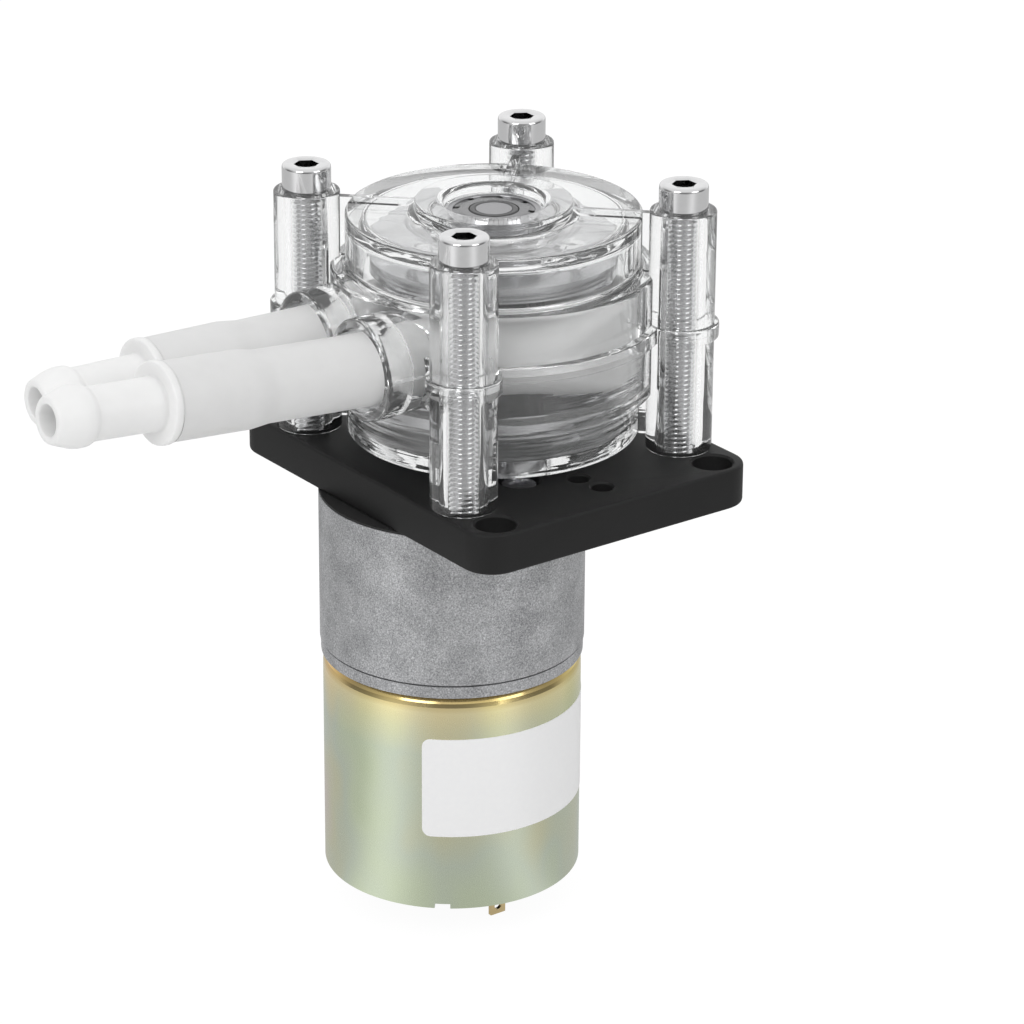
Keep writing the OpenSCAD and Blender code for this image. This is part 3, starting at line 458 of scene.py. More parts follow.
def carve(name, finish, *groups):
    """A body made by Boolean modifiers: the first group of shapes is joined, the second is cut
    out of it, and so on in turns."""
    body = None
    for n, group in enumerate(groups):
        for shape in group:
            tool = piece(name, shape, finish, body=None)
            if body is None:
                body = tool
                continue
            cut = body.modifiers.new("cut", "BOOLEAN")
            cut.operation, cut.object = ("UNION", "DIFFERENCE")[n % 2], tool
            cut.solver = "MANIFOLD"
            view = body.evaluated_get(bpy.context.evaluated_depsgraph_get())
            mesh = bpy.data.meshes.new_from_object(view)
            body.modifiers.clear()
            body.data = mesh
            bpy.data.objects.remove(tool)
    return body


def flange():
    """The parting flange: a ring round the drum, and a collar round each boss."""
    low, high = SPLIT_Z - FLANGE_T / 2, SPLIT_Z + FLANGE_T / 2
    inside, outside = DRUM_R - 1.3, DRUM_R + 1.2
    ring = eased([(inside, low), (outside, low), (outside, high), (inside, high)],
                 [0, 0.3, 0.3, 0], 3)
    return [turned(ring, 160)] + [rod(BOSS_R + 0.65, low, high, c, 64, 0.3) for c in BOSSES]


def housing():
    """The whole clear housing before it is parted."""
    sleeve = eased([(0, -SLEEVE_X), (SLEEVE_R, -SLEEVE_X), (SLEEVE_R, -15), (0, -15)],
                   [0, 0.6, 0, 0], 5)
    half = WEB_T / 2
    web = block((20.2, -half, DRUM_LOW + 0.3), (26.02, half, DRUM_TOP + 0.9))
    rib = block((10.4, -half, DRUM_TOP - 0.3), (25.5, half, DRUM_TOP + 0.9))
    body = [turned(drum_profile(), 192)]
    for side in (-1, 1):
        low, high = sorted((side * (EXIT_Y + 4.26), side * BOSS_AT))
        body += [along_x(turned(sleeve, 96), (0, side * EXIT_Y, SPLIT_Z)),
                 block((-21.16, low, SPLIT_Z - 4.5), (-19.36, high, SPLIT_Z + 2.6))]
    body += flange() + [spun(web, a) for a in DIAGONALS]
    rooms = [*channel(-1), *channel(1),
             rod(TRACK_R, TRACK_LOW + HAIR, TRACK_HIGH - HAIR, around=192),
             rod(RIM_R - HAIR, FLOOR_TOP + HAIR, ROOF_UNDER - 2.3, around=192)]
    posts = [rod(BOSS_R, PLATE_T, BOSS_TOP, c, 80, 0.35) for c in BOSSES]
    holes = [rod(BOLT_HOLE_R, 0, 50, c, 64) for c in BOSSES]
    return carve("clear_housing", clear, body, rooms,
                 [spun(rib, a) for a in DIAGONALS] + posts, holes)


def half_of(whole, name, node, upper):
    """One half of the housing: one side of the parting plane, closed again."""
    mesh = whole.data.copy()
    level = SPLIT_Z + (HAIR if upper else -HAIR)
    with editing(mesh, 32) as work:
        cut = bmesh.ops.bisect_plane(work, geom=[*work.verts, *work.edges, *work.faces],
                                     dist=1e-7, plane_co=(0, 0, level * MM), plane_no=(0, 0, 1),
                                     clear_outer=not upper, clear_inner=upper)
        rim = [e for e in cut["geom_cut"] if isinstance(e, bmesh.types.BMEdge)]
        bmesh.ops.triangle_fill(work, edges=rim, use_beauty=True)
        bmesh.ops.recalc_face_normals(work, faces=work.faces)
    settle(stand(name, mesh), [node])


whole = housing()
half_of(whole, "clear_base", "lower_housing", False)
half_of(whole, "clear_cover", "upper_housing", True)
bpy.data.objects.remove(whole)

# %% [markdown]
# Every turned or plated piece has faint marks from its making, so each metal mixes two close
# greys and gets a slight unevenness. The hub's journal, which shows inside the bearing, is a
# duller alloy than the rotor's steel.

# %% Metals
def metal(name, colour, roughness, unevenness=0.15, grain=1.5, depth=0.004):
    """Plated or polished metal with a faint cloudiness in its shine."""
    f = Finish(name)
    cloud = f.noise(f.place(), grain, 4)
    shade = f.mix(cloud, tuple(c * 0.92 for c in colour), colour)
    f.surface(Base_Color=shade, Metallic=1.0, Normal=f.bump(cloud, depth, 0.5),
              Roughness=(cloud - 0.5) * unevenness * roughness + roughness)
    return f


def lathe_steel(name, colour, roughness):
    """Steel with rings from the lathe: the bump follows the distance from the rotor axis."""
    f = Finish(name)
    reach = f.vector("LENGTH", f.place((1, 1, 0)), out=1)
    rings = f.noise(f.node("ShaderNodeCombineXYZ", {0: reach}), 9, 4)
    f.surface(Base_Color=f.mix(rings, tuple(c * 0.85 for c in colour), colour), Metallic=1.0,
              Roughness=rings * 0.1 + roughness, Normal=f.bump(rings, 0.006, 0.6))
    return f


nickel = metal("bright nickel", (0.77, 0.77, 0.775), 0.1, 0.4, 1.2, 0.003)
ground = lathe_steel("ground steel", (0.56, 0.56, 0.57), 0.12)
alloy = lathe_steel("turned aluminium", (0.36, 0.36, 0.37), 0.2)
ball_steel = metal("bearing steel", (0.34, 0.34, 0.35), 0.12, 0.2)
ring_steel = metal("inner ring steel", (0.07, 0.07, 0.072), 0.15, 0.3, 2)
brass = metal("cage brass", (0.78, 0.62, 0.33), 0.22, 0.3, 2)
gear_brass = metal("gear brass", (0.76, 0.6, 0.32), 0.28, 0.3, 4)
bronze = metal("sintered bronze", (0.6, 0.4, 0.22), 0.45, 0.3, 6, 0.02)
plated = metal("zinc plate", (0.7, 0.7, 0.72), 0.25, 0.4, 2)

for node, finish in {
        "rotor_lower_plate": ground, "rotor_upper_plate": ground, "rotor_hub": alloy,
        "roller_pins": nickel, "output_shaft": ball_steel, "bearing_balls": ball_steel,
        "bearing_cage": brass, "output_bush": bronze, "output_gear": ground,
        "gear_1": gear_brass, "gear_2": gear_brass, "gear_axles": ball_steel,
        "motor_shaft": ball_steel}.items():
    dress(node, finish)
for k in range(3):
    dress("roller_%d" % (k + 1), metal("roller steel %d" % (k + 1), (0.6, 0.6, 0.61), 0.1, 0.3))

# %% [markdown]
# The bearing's two rings have rounded edges, and the pressed shield between them has eight small
# crimps in its rim.

# %% Bearing
CRIMPS, CRIMP_FROM = 8, 4.75


def shield_steel():
    """Pressed steel with painted shade in the crimps: near the rim, where a point's azimuth times
    the number of crimps comes near to a whole turn."""
    f = Finish("shield steel")
    east, north, _ = f.split(f.place())
    turns = np.arctan2(north, east) * (CRIMPS / (2 * np.pi)) + CRIMPS
    # Painted shade: the crimps near the rim are coloured nearly black, as the shade in their dips.
    near = abs((turns + 0.5).maths("FRACT") - 0.5) < 0.11
    painted_crimp_shade = near * (np.sqrt(east * east + north * north) > CRIMP_FROM)
    press = f.noise(f.place(), 3, 4)
    f.surface(Base_Color=f.mix(painted_crimp_shade, f.mix(press, (0.2, 0.2, 0.205), (0.3, 0.3, 0.305)),
                               (0.02, 0.02, 0.02)),
              Metallic=1.0, Roughness=0.24, Normal=f.bump(press, 0.004, 0.5))
    return f


def bearing_ring(inner, outer):
    """One ring of the bearing, turned, with eased edges."""
    corners = [(inner, BEARING_LOW), (outer, BEARING_LOW), (outer, BEARING_TOP),
               (inner, BEARING_TOP)]
    return turned(eased(corners, 0.22, 4), 128)


def pressed_shield(level, up, around=320):
    """A shield plate: its height follows a shallow step, and dips at the crimps of its rim."""
    r = np.linspace(BEARING_BORE + RING_T + 0.1, BEARING_R - RING_T, 14)[:, None]
    a = azimuths(around)
    step = 0.14 / (1 + np.exp((r - 4.9) * 9))
    near = np.abs((a * CRIMPS / (2 * np.pi) + 0.5) % 1 - 0.5)
    dip = 0.35 * np.clip((0.1 - near) * 24, 0, 1) * np.clip((r - 4.9) * 6, 0, 1)
    face = polar(r, a, level + up * (step - dip))
    back = face - [0, 0, up * 0.16]
    return grid(np.concatenate([face, back[::-1]]), True)


piece("outer_race", bearing_ring(BEARING_R - RING_T, BEARING_R), ball_steel,
      ["bearing_outer_ring"])
piece("inner_race", bearing_ring(BEARING_BORE, BEARING_BORE + RING_T), ring_steel,
      ["bearing_inner_ring"], "rotor")
shields = joined(pressed_shield(BEARING_TOP - 0.2, 1), pressed_shield(BEARING_LOW + 0.2, -1))
piece("crimped_shields", shields, shield_steel(), ["bearing_shields"])

# %% [markdown]
# The clear bosses show the bolts' threads over the whole length. A thread is a grid whose rows
# climb by one pitch in each turn: z = low + pitch (i / n + a / 2 pi). Its last column is its first
# one, n rows higher, so the two are simply merged. The head's innermost rows are a hexagon.

# %% Bolts
BOLT_R, BOLT_PITCH, BOLT_LOW, HEAD_R, HEAD_H, SOCKET = 2.0, 0.7, 0.5, 3.4, 3.7, 3.0


def threaded(low, high, core, crest, pitch, around=28, per_turn=7):
    """A threaded shank on the Z axis. The flank wave runs between the core and crest radii."""
    turns = int(np.ceil((high - low) / pitch)) + 1
    i, a = np.meshgrid(np.arange(-per_turn, turns * per_turn),
                       np.linspace(0, 2 * np.pi, around + 1), indexing="ij")
    z = low + pitch * (i / per_turn + a / (2 * np.pi))
    wave = np.clip(1.35 * (1 - np.abs(2 * (i / per_turn % 1) - 1)) - 0.15, 0, 1)
    r = np.minimum(core + (crest - core) * wave, core - 0.1 + np.maximum(z - low, 0))
    r = np.where((z <= low) | (z >= high), core - 0.1, r)
    points = [polar(0, a[:1], low), polar(r, a, np.clip(z, low, high)), polar(0, a[:1], high)]
    return grid(np.concatenate(points), wrap_columns=False)


def socket_head(low, radius, height, across, around=72):
    """A cap head with a rounded top edge and a hexagon socket."""
    a = azimuths(around)
    hexagon = across / 2 / np.cos((a + np.pi / 6) % (np.pi / 3) - np.pi / 6)
    top = low + height
    rim = eased([(0, low), (radius, low), (radius, top), (0, top)], [0, 0.15, 0.62, 0], 6)
    rows = [(0, low), *rim[len(rim) // 4:len(rim) * 3 // 4], (across * 0.62, top),
            (hexagon, top - 0.14), (hexagon, top - 2.0), (hexagon * 0.4, top - 2.3),
            (0, top - 2.4)]
    return grid(np.stack([polar(r, a, z) for r, z in rows]))


def moved(shape, offset):
    """A shape shifted by an offset."""
    return shape[0] + np.asarray(offset, float), shape[1]


def bolt_nickel():
    """Bright nickel, with painted shade darkening the walls of the sockets."""
    f = Finish("bolt nickel")
    from_axis, height = near_bosses(f)
    # Painted shade: near each boss axis, between the boss top and the head's top, the socket is
    # grey.
    inside = ((from_axis < (SOCKET * 0.6) ** 2) * (height < BOSS_TOP + HEAD_H - 0.2)
              * (height > BOSS_TOP + 0.4))
    cloud = f.noise(f.place(), 1.2, 4)
    skin = f.mix(cloud, (0.71, 0.71, 0.715), (0.77, 0.77, 0.775))
    f.surface(Base_Color=f.mix(inside, skin, (0.28, 0.28, 0.28)), Metallic=1.0,
              Roughness=(cloud - 0.5) * 0.04 + 0.1, Normal=f.bump(cloud, 0.003, 0.5))
    return f


shank = threaded(BOLT_LOW, BOSS_TOP, BOLT_R - 0.43, BOLT_R, BOLT_PITCH)
head = socket_head(BOSS_TOP, HEAD_R, HEAD_H, SOCKET)
piece("long_bolts", joined(*(moved(s, (x, y, 0)) for x, y in BOSSES for s in (shank, head))),
      bolt_nickel(), ["housing_bolts"], sharp=50)

# %% [markdown]
# The tube's middle line is two straight legs, two bends and the long wrap round the track. Each
# roller flattens the tube to what room it leaves, while the tube keeps its own girth. Both ends
# swell a little where the spigots of the fittings fill them.
#
# The flats go round with the rotor. So the section's sums are written once and used twice: on
# numpy arrays for the rest shape, and on Values in a tree of geometry nodes, which sees each
# station of the tube from the turned rotor. There the three roller axes always stand still.

# %% Tube
TUBE_R, TUBE_WALL, TUBE_GAP, WRAP_R = 5.0, 1.8, 0.1, 14.9
FRONT_END_X, REAR_END_X, FRONT_RISE, REAR_RISE = 58.0, 52.0, 4.7, 1.2
SWELL, SPIGOT_L, LEAST_BORE = 0.4, 13.0, 0.12
ROLLER_ORBIT, ROLLER_R = 11.2, 5.5
SOFTNESS = 0.36
SIDES = 48
TURNS = (np.arange(SIDES) + 0.5) * 2 * np.pi / SIDES
roller_axes = polar(ROLLER_ORBIT, np.radians([60, 180, 300]), 0)[:, :2]


def leg_rise(x, slope):
    """How far a leg has risen at x: nothing in its sleeve, then a soft bend, then a straight."""
    d = -SLEEVE_X + 4 - x
    bent = np.where(d < 6, d * d / 12, d - 3)
    return np.where(d <= 0, 0, bent) * np.tan(np.radians(slope))


def leg(end_x, side, slope, count=130):
    """Stations of one leg from its cut end to the bend: x, y, z, outward x and y, swelling."""
    x = np.linspace(-end_x, BEND_X, count, endpoint=False)
    from_end = x + end_x
    swollen = np.clip(1 - (from_end - SPIGOT_L + 1) / 3, 0, 1)
    flat = np.zeros(count)
    return np.stack([x, flat + side * EXIT_Y, SPLIT_Z + leg_rise(x, slope),
                     flat, flat + side, swollen], 1)


def middle_line():
    """All stations of the tube in order, from the front end round the track to the rear end."""
    a = np.radians(np.linspace(90, JOIN_A, 24, endpoint=False))
    flat = np.zeros(len(a))
    bend = np.stack([BEND_X + BEND_R * np.cos(a), -EXIT_Y - BEND_R * (1 - np.sin(a)),
                     flat + SPLIT_Z, -np.cos(a), -np.sin(a), flat], 1)
    a = np.radians(np.linspace(180 + JOIN_A, 540 - JOIN_A, 240))
    flat = np.zeros(len(a))
    wrap = np.stack([WRAP_R * np.cos(a), WRAP_R * np.sin(a), flat + SPLIT_Z,
                     np.cos(a), np.sin(a), flat], 1)
    back = bend[::-1] * [1, -1, 1, 1, -1, 1]
    return np.concatenate([leg(FRONT_END_X, -1, FRONT_RISE), bend, wrap, back,
                           leg(REAR_END_X, 1, REAR_RISE)[::-1]])


def section(gap, swell, wall, turn):
    """How far out and how high a point of the stadium section lies from the middle line. The
    depth is the tube's radius outwards and what the nearest roller leaves inwards, softly
    joined by (a + b) / 2 - sqrt(((a - b) / 2)^2 + c), and the width keeps the girth."""
    left = (gap + TUBE_R) / 2 - np.sqrt(((gap - TUBE_R) / 2) ** 2 + SOFTNESS)
    radius = swell + TUBE_R
    inner = np.minimum(radius, left + swell)
    depth = radius + inner
    skin = np.minimum(wall, depth / 2 - LEAST_BORE)
    width = np.maximum(depth, (radius * 2 - depth) * (np.pi / 2) + depth)
    h, w, shift = depth - skin * 2, width - skin * 2, (radius - inner) / 2
    sine = np.sin(turn)
    return h / 2 * np.cos(turn) + shift, h / 2 * sine + np.sign(sine) * (w - h) / 2


def section_points(stations, wall):
    """The section's points at every station, with the rollers where they stand at rest."""
    place, out, swollen = stations[:, :3], stations[:, 3:5], stations[:, 5:]
    away = np.linalg.norm(place[:, None, :2] - roller_axes, axis=2).min(1, keepdims=True)
    across, high = section(away - ROLLER_R - TUBE_GAP, swollen * SWELL, wall, TURNS)
    flat = place[:, None, :2] + out[:, None] * across[..., None]
    return np.concatenate([flat, (place[:, 2:] + high)[..., None]], 2)


class Shaping(Finish):
    """A tree of geometry nodes, made with the same plain calls as a finish."""

    def __init__(self, name):
        self.tree = bpy.data.node_groups.new(name, "GeometryNodeTree")
        for way in ("INPUT", "OUTPUT"):
            self.tree.interface.new_socket("Geometry", in_out=way,
                                           socket_type="NodeSocketGeometry")

    def stored(self, name, kind="FLOAT"):
        """What the mesh carries under that name at each of its points."""
        return self.node("GeometryNodeInputNamedAttribute", {"Name": name}, data_type=kind)


def carry(mesh, name, values):
    """Stores a number, or a vector, at each point of a mesh."""
    kind, key = ("FLOAT_VECTOR", "vector") if values.ndim == 2 else ("FLOAT", "value")
    mesh.attributes.new(name, kind, "POINT").data.foreach_set(key, values.ravel())


def follow_rollers(tube, stations, walls):
    """Adds the modifier that works out each point of the tube from the turned rotor."""
    rows = np.concatenate([stations, stations[::-1]])
    for name, values in {"centre": rows[:, :3], "outward": rows[:, 3:5] @ np.eye(2, 3),
                         "swollen": rows[:, 5], "wall": np.repeat(walls, len(stations))}.items():
        carry(tube.data, name, np.repeat(values, SIDES, 0))
    carry(tube.data, "turn", np.tile(TURNS, len(rows)))

    f = Shaping("squeeze by rollers")
    centre, outward = f.stored("centre", "FLOAT_VECTOR"), f.stored("outward", "FLOAT_VECTOR")
    rotor = f.node("GeometryNodeObjectInfo", {"Object": frame["bodies"]["rotor"]}, "Transform")
    seen = f.node("FunctionNodeTransformPoint", {
        "Vector": f.vector("SCALE", centre, MM),
        "Transform": f.node("FunctionNodeInvertMatrix", {0: rotor})})
    flat = f.vector("MULTIPLY", seen, (1 / MM, 1 / MM, 0))
    away = [f.vector("DISTANCE", flat, (*axis, 0), 1) for axis in roller_axes]
    gap = np.minimum(np.minimum(away[0], away[1]), away[2]) - (ROLLER_R + TUBE_GAP)
    across, high = section(gap, f.stored("swollen") * SWELL, f.stored("wall"), f.stored("turn"))
    rise = f.node("ShaderNodeCombineXYZ", {"Z": high})
    place = f.vector("ADD", f.vector("ADD", centre, f.vector("SCALE", outward, across)), rise)
    moved_points = f.node("GeometryNodeSetPosition", {
        "Geometry": f.node("NodeGroupInput"), "Position": f.vector("SCALE", place, MM)})
    f.tree.links.new(moved_points.socket, f.tree.nodes.new("NodeGroupOutput").inputs[0])
    tube.modifiers.new("squeeze", "NODES").node_group = f.tree


def silicone():
    """Milky silicone, which light enters a little way. The wrap inside the head is painted greyer,
    as painted shade.
    """
    f = Finish("silicone")
    skin = f.noise(f.place(), 0.4, 3)
    pale = f.mix(skin, (0.73, 0.73, 0.728), (0.77, 0.77, 0.768))
    # Painted shade: where the tube runs inside the head, its colour turns grey.
    painted_shade_in_head = ((f.split(f.place())[0] + 24) / 5).clamped()
    f.surface(Base_Color=f.mix(painted_shade_in_head, pale, (0.55, 0.55, 0.55)), Roughness=0.45,
              Subsurface_Weight=0.35, Subsurface_Radius=(1, 1, 1), Subsurface_Scale=0.0015,
              Normal=f.bump(f.noise(f.place(), 2.5, 3), 0.01, 0.4))
    return f


stations = middle_line()
pipe = np.concatenate([section_points(stations, 0), section_points(stations, TUBE_WALL)[::-1]])
tube = piece("soft_tube", grid(pipe, True), silicone(), ["pump_tube"], sharp=60)
if tube:
    follow_rollers(tube, stations, (0, TUBE_WALL))

# %% [markdown]
# Both fittings are one turned form, laid along the end of a leg: a barb with a ridge near its
# tip, a collar, and the spigot that sits in the tube.

# %% Hose fittings
BORE_R, SPIGOT_R, BARB_R, RIDGE_R = 2.1, 3.4, 3.6, 4.15
COLLAR_R, COLLAR_T, BARB_L = 5.6, 1.3, 16.0


def fitting(end_x, side, slope):
    """A barbed fitting at the end of a leg, at the leg's own slope."""
    tip = -COLLAR_T - BARB_L
    profile = eased([
        (BORE_R, tip), (BARB_R - 0.5, tip), (RIDGE_R - 0.15, tip + 2.7), (RIDGE_R, tip + 3.6),
        (RIDGE_R - 0.05, tip + 5.1), (BARB_R, tip + 5.9), (BARB_R, -COLLAR_T),
        (COLLAR_R, -COLLAR_T), (COLLAR_R, 0), (SPIGOT_R, 0), (SPIGOT_R, SPIGOT_L - 4),
        (SPIGOT_R + 0.2, SPIGOT_L - 3.6), (SPIGOT_R - 0.5, SPIGOT_L), (BORE_R, SPIGOT_L)],
        [0.3, 0.5, 0.7, 0.6, 0.6, 0.3, 0.4, 0.35, 0.35, 0.1, 0.2, 0.2, 0.2, 0.1], 5)
    points, faces = turned(profile, 96)
    x, y, z = points.T
    sine, cosine = np.sin(np.radians(slope)), np.cos(np.radians(slope))
    return np.stack([z * cosine - x * sine - end_x, y + side * EXIT_Y,
                     SPLIT_Z + leg_rise(-end_x, slope) - z * sine - x * cosine], 1), faces


fitting_white = clouded("white plastic", 0.5, (0.86, 0.86, 0.857), (0.9, 0.9, 0.897), 0.4, 0.01,
                        0.3, Subsurface_Weight=0.5, Subsurface_Radius=(1, 1, 1),
                        Subsurface_Scale=0.002)
for end, *where in (("front", FRONT_END_X, -1, FRONT_RISE), ("rear", REAR_END_X, 1, REAR_RISE)):
    piece(end + "_barb", fitting(*where), fitting_white, [end + "_fitting"],
          sharp=50)

# %% [markdown]
# Some CAD pieces only need their hard edges broken: a copy of the mesh is welded, and a Bevel
# modifier rounds every edge sharper than 30 degrees.

# %% Softened copies of CAD pieces
def softened(name, node, finish, width):
    """A copy of a CAD node with rounded edges, which takes that node's place."""
    dress(node, finish)
    mesh = nodes[node].data.copy()
    with editing(mesh, 30) as work:
        bmesh.ops.remove_doubles(work, verts=work.verts, dist=2e-6)
        bmesh.ops.dissolve_limit(work, angle_limit=np.radians(0.5), verts=work.verts,
                                 edges=work.edges)
        bmesh.ops.triangulate(work, faces=work.faces)
    made = stand(name, mesh)
    rounding = made.modifiers.new("rounding", "BEVEL")
    rounding.width, rounding.segments = width * MM, 3
    rounding.limit_method, rounding.angle_limit = "ANGLE", np.radians(30)
    rounding.harden_normals = True
    settle(made, [node])


def nylon():
    """Black filled nylon with a fine matt grain, a little lighter where it is worn."""
    f = Finish("black nylon")
    grain = f.noise(f.place(), 6, 4)
    wear = f.noise(f.place(), 0.12, 3)
    f.surface(Base_Color=f.mix(wear, (0.006, 0.006, 0.006), (0.011, 0.011, 0.0112)),
              Specular_IOR_Level=0.32, Roughness=grain * 0.15 + 0.5,
              Normal=f.bump(grain, 0.03, 0.7))
    return f


black = nylon()

# %% [markdown]
# The plate is a slab with rounded corners and broken edges. Each hole is cut by a spool, which
# leaves the small chamfers that moulded holes have.

# %% Base plate
PLATE_X, PLATE_Y, PLATE_CORNER = 23.2, 29.7, 4.5
MOTOR_X, CAN_R = -7.0, 18.25
SCREW_SEAT, SCREW_ORBIT = PLATE_T - 2.6, 15.55
SCREWS = polar(SCREW_ORBIT, np.radians([30, 90, 270, 330]), 0, (MOTOR_X, 0))[:, :2]
PANEL_HOLES = [(x, y) for x in (-18.5, 18.5) for y in (-25.8, 25.8)]
SPARE_HOLES = [(x, s * y) for s in (-1, 1) for x, y in ((0, 19.7), (0.8, 23.9))]
PANEL_HOLE_R, PILOT_R, SCREW_HOLE_R, SCREW_SEAT_R, SPARE_HOLE_R = 2.8, 6.1, 1.65, 2.95, 1.5


def slab(half_x, half_y, corner, low, high, ease, arc=12):
    """A slab with rounded corners. Its outline is drawn in by an inset at the faces: along the
    edge's quarter circle, inset = ease (1 - cos t) and height = ease sin t."""
    t = np.radians(np.linspace(0, 90, 5))
    inset, rise = ease * (1 - np.cos(t)), ease * (1 - np.sin(t))
    rows = list(zip(inset[::-1], low + rise[::-1])) + list(zip(inset, high - rise))
    a = np.radians(np.concatenate([np.linspace(q, q + 90, arc) for q in (0, 90, 180, 270)]))
    side_x = np.repeat([1, -1, -1, 1], arc) * (half_x - corner)
    side_y = np.repeat([1, 1, -1, -1], arc) * (half_y - corner)
    rings = [polar(corner - d, a, z, (side_x, side_y)) for d, z in rows]
    return grid(np.stack([polar(0, a, low), *rings, polar(0, a, high)]))


def spool(radius, centre, chamfer=0.3):
    """The cutter of a hole through the plate: a cylinder that widens at both ends."""
    wide = radius + chamfer
    return turned([(0, -1), (wide, -1), (wide, 0), (radius, chamfer),
                   (radius, PLATE_T - chamfer), (wide, PLATE_T), (wide, PLATE_T + 1),
                   (0, PLATE_T + 1)], 48, centre)


def base_plate():
    """The slab with all its holes: panel screws, bolts, pilot, screw seats and spare holes."""
    holes = [spool(PANEL_HOLE_R, c) for c in PANEL_HOLES]
    holes += [spool(BOLT_R, c, 0.1) for c in BOSSES]
    holes += [spool(PILOT_R, (0, 0))]
    holes += [spool(SCREW_HOLE_R, c, 0.1) for c in SCREWS]
    holes += [rod(SCREW_SEAT_R, SCREW_SEAT, PLATE_T + 1, c, 48) for c in SCREWS]
    holes += [spool(SPARE_HOLE_R, c, 0.25) for c in SPARE_HOLES]
    blank = slab(PLATE_X, PLATE_Y, PLATE_CORNER, 0, PLATE_T, 0.45)
    plate = carve("base_plate_part_0", black, [blank], holes)
    plate.data.shade_smooth()
    plate.data.set_sharp_from_angle(angle=np.radians(32))
    settle(plate, ["mounting_plate"])


base_plate()

# %% [markdown]
# Four pan-head screws hold the gear motor. A head is a polar grid: its height is a low dome
# h - (r / R)^2 / 3, less a depth where the point lies inside the cross recess.

# %% Gear motor screws
SCREW_R, PAN_R, PAN_H, SCREW_L = 1.5, 2.75, 2.45, 8.0


def pan_head(low, radius, height, rings=44, around=128):
    """A domed screw head with a cross recess, closed at its seat."""
    reach = np.linspace(0, radius, rings)[:, None]
    a = azimuths(around)
    x, y = abs(reach * np.cos(a)), abs(reach * np.sin(a))
    dome = height - (reach / radius) ** 2 / 3 - 0.5 * np.clip(reach / radius - 0.8, 0, 1) ** 2 * 25
    arm = (np.clip((0.34 - np.minimum(x, y)) / 0.1, 0, 1)
           * np.clip((1.55 - np.maximum(x, y)) / 0.25, 0, 1))
    top = polar(reach, a, low + dome - 1.1 * arm)
    return grid(np.concatenate([top, [polar(radius, a, low)], [polar(0, a, low)]]))


screw = joined(pan_head(SCREW_SEAT, PAN_R, PAN_H),
               threaded(SCREW_SEAT - SCREW_L, SCREW_SEAT + 0.1, SCREW_R - 0.25, SCREW_R, 0.5))
piece("cross_head_screws", joined(*(moved(spun(screw, 20 + 31 * k), (x, y, 0))
                                    for k, (x, y) in enumerate(SCREWS))),
      plated, ["gearbox_screws"], sharp=50)

# %% [markdown]
# The gasket is matt black rubber, and the motor's end cover is dark plastic.

# %% Rubber and the end cover
dress("gearbox_gasket", clouded("rubber", 3, (0.015, 0.015, 0.015), (0.03, 0.03, 0.03), 0.75,
                                0.02, detail=4))
dress("motor_end_cap", clouded("cover plastic", 4, (0.025, 0.025, 0.026), (0.04, 0.04, 0.041),
                               0.45, 0.01))

# %% [markdown]
# The gearbox is die-cast zinc alloy with a skin of bright flecks. The can is steel with a yellow
# zinc plating, whose thin film gives faint bands of pink, green and gold. A bronze reflection is
# painted on its shoulder.

# %% Gear motor finishes
CAN_TOP = -24.3


def die_cast():
    """Cast metal: patches of grey, a dense grain of dark and pale specks, and small scratches."""
    f = Finish("die-cast zinc")
    place = f.place()
    patch = f.noise(place, 0.16, 4, 0.6)
    grain = f.noise(place, 4.6, 5, 0.75)
    scratch = f.noise(f.place((5.5, 5.5, 1.3)), 1.0, 2, 0.6)
    bright = ((scratch - 0.6) * 7).clamped()
    speck = ((grain - 0.5) * 3.0 + (patch - 0.5) * 0.85 + 0.5).clamped()
    skin = f.ramp(speck, (0.0, (0.22, 0.22, 0.23)), (0.5, (0.43, 0.435, 0.445)),
                  (1.0, (0.74, 0.745, 0.76)))
    colour = f.mix(bright * 0.35, skin, (0.78, 0.78, 0.79))
    f.surface(Base_Color=colour, Metallic=0.75, Roughness=speck * -0.12 + 0.52,
              Normal=f.bump(grain + patch, 0.06, 0.7))
    return f


def yellow_zinc():
    """Yellow zinc plating: green-grey, drifting to yellow and pink, with a painted bronze
    reflection on the shoulder.
    """
    f = Finish("yellow zinc")
    middle = (MOTOR_X, 0, 0)
    drift = f.noise(f.place((0.055, 0.055, 0.035), middle), 1.0, 2, 0.45)
    film = f.ramp(drift, (0.3, (0.54, 0.62, 0.41)), (0.44, (0.62, 0.69, 0.51)),
                  (0.52, (0.6, 0.66, 0.54)), (0.6, (0.66, 0.66, 0.47)), (0.72, (0.69, 0.61, 0.53)))
    height = f.split(f.place())[2]
    rise = ((height - (CAN_TOP - 9)) / 9).clamped()
    # The tint warms and lightens towards the top; its bronze end on the shoulder is a painted
    # reflection.
    tint_and_painted_shoulder_reflection = f.ramp(rise, (0.0, (1, 1, 1)), (0.45, (1.2, 1.08, 0.92)), (0.72, (1.4, 1.15, 0.86)),
                  (0.86, (1.2, 0.86, 0.5)), (1.0, (0.85, 0.55, 0.26)))
    fine = f.noise(f.place((1, 1, 0.25), middle), 2.2, 4)
    shoulder = ((height - (CAN_TOP - 3.0)) / 1.2).clamped()
    f.surface(Base_Color=f.mix(1.0, film, tint_and_painted_shoulder_reflection, blend_type="MULTIPLY"), Metallic=1.0,
              Roughness=fine * 0.06 + shoulder * -0.13 + 0.24, Normal=f.bump(fine, 0.003, 0.4))
    return f

# %% [markdown]
# A bare white label is stuck on the can. It is a grid in azimuth and height, and its rows draw in
# near the top and bottom, by R - sqrt(R^2 - d^2), which rounds its corners.

# %% Label
LABEL_FROM, LABEL_TO, LABEL_LOW, LABEL_HIGH, LABEL_CORNER = -139.0, -20.0, -45.7, -30.7, 1.2


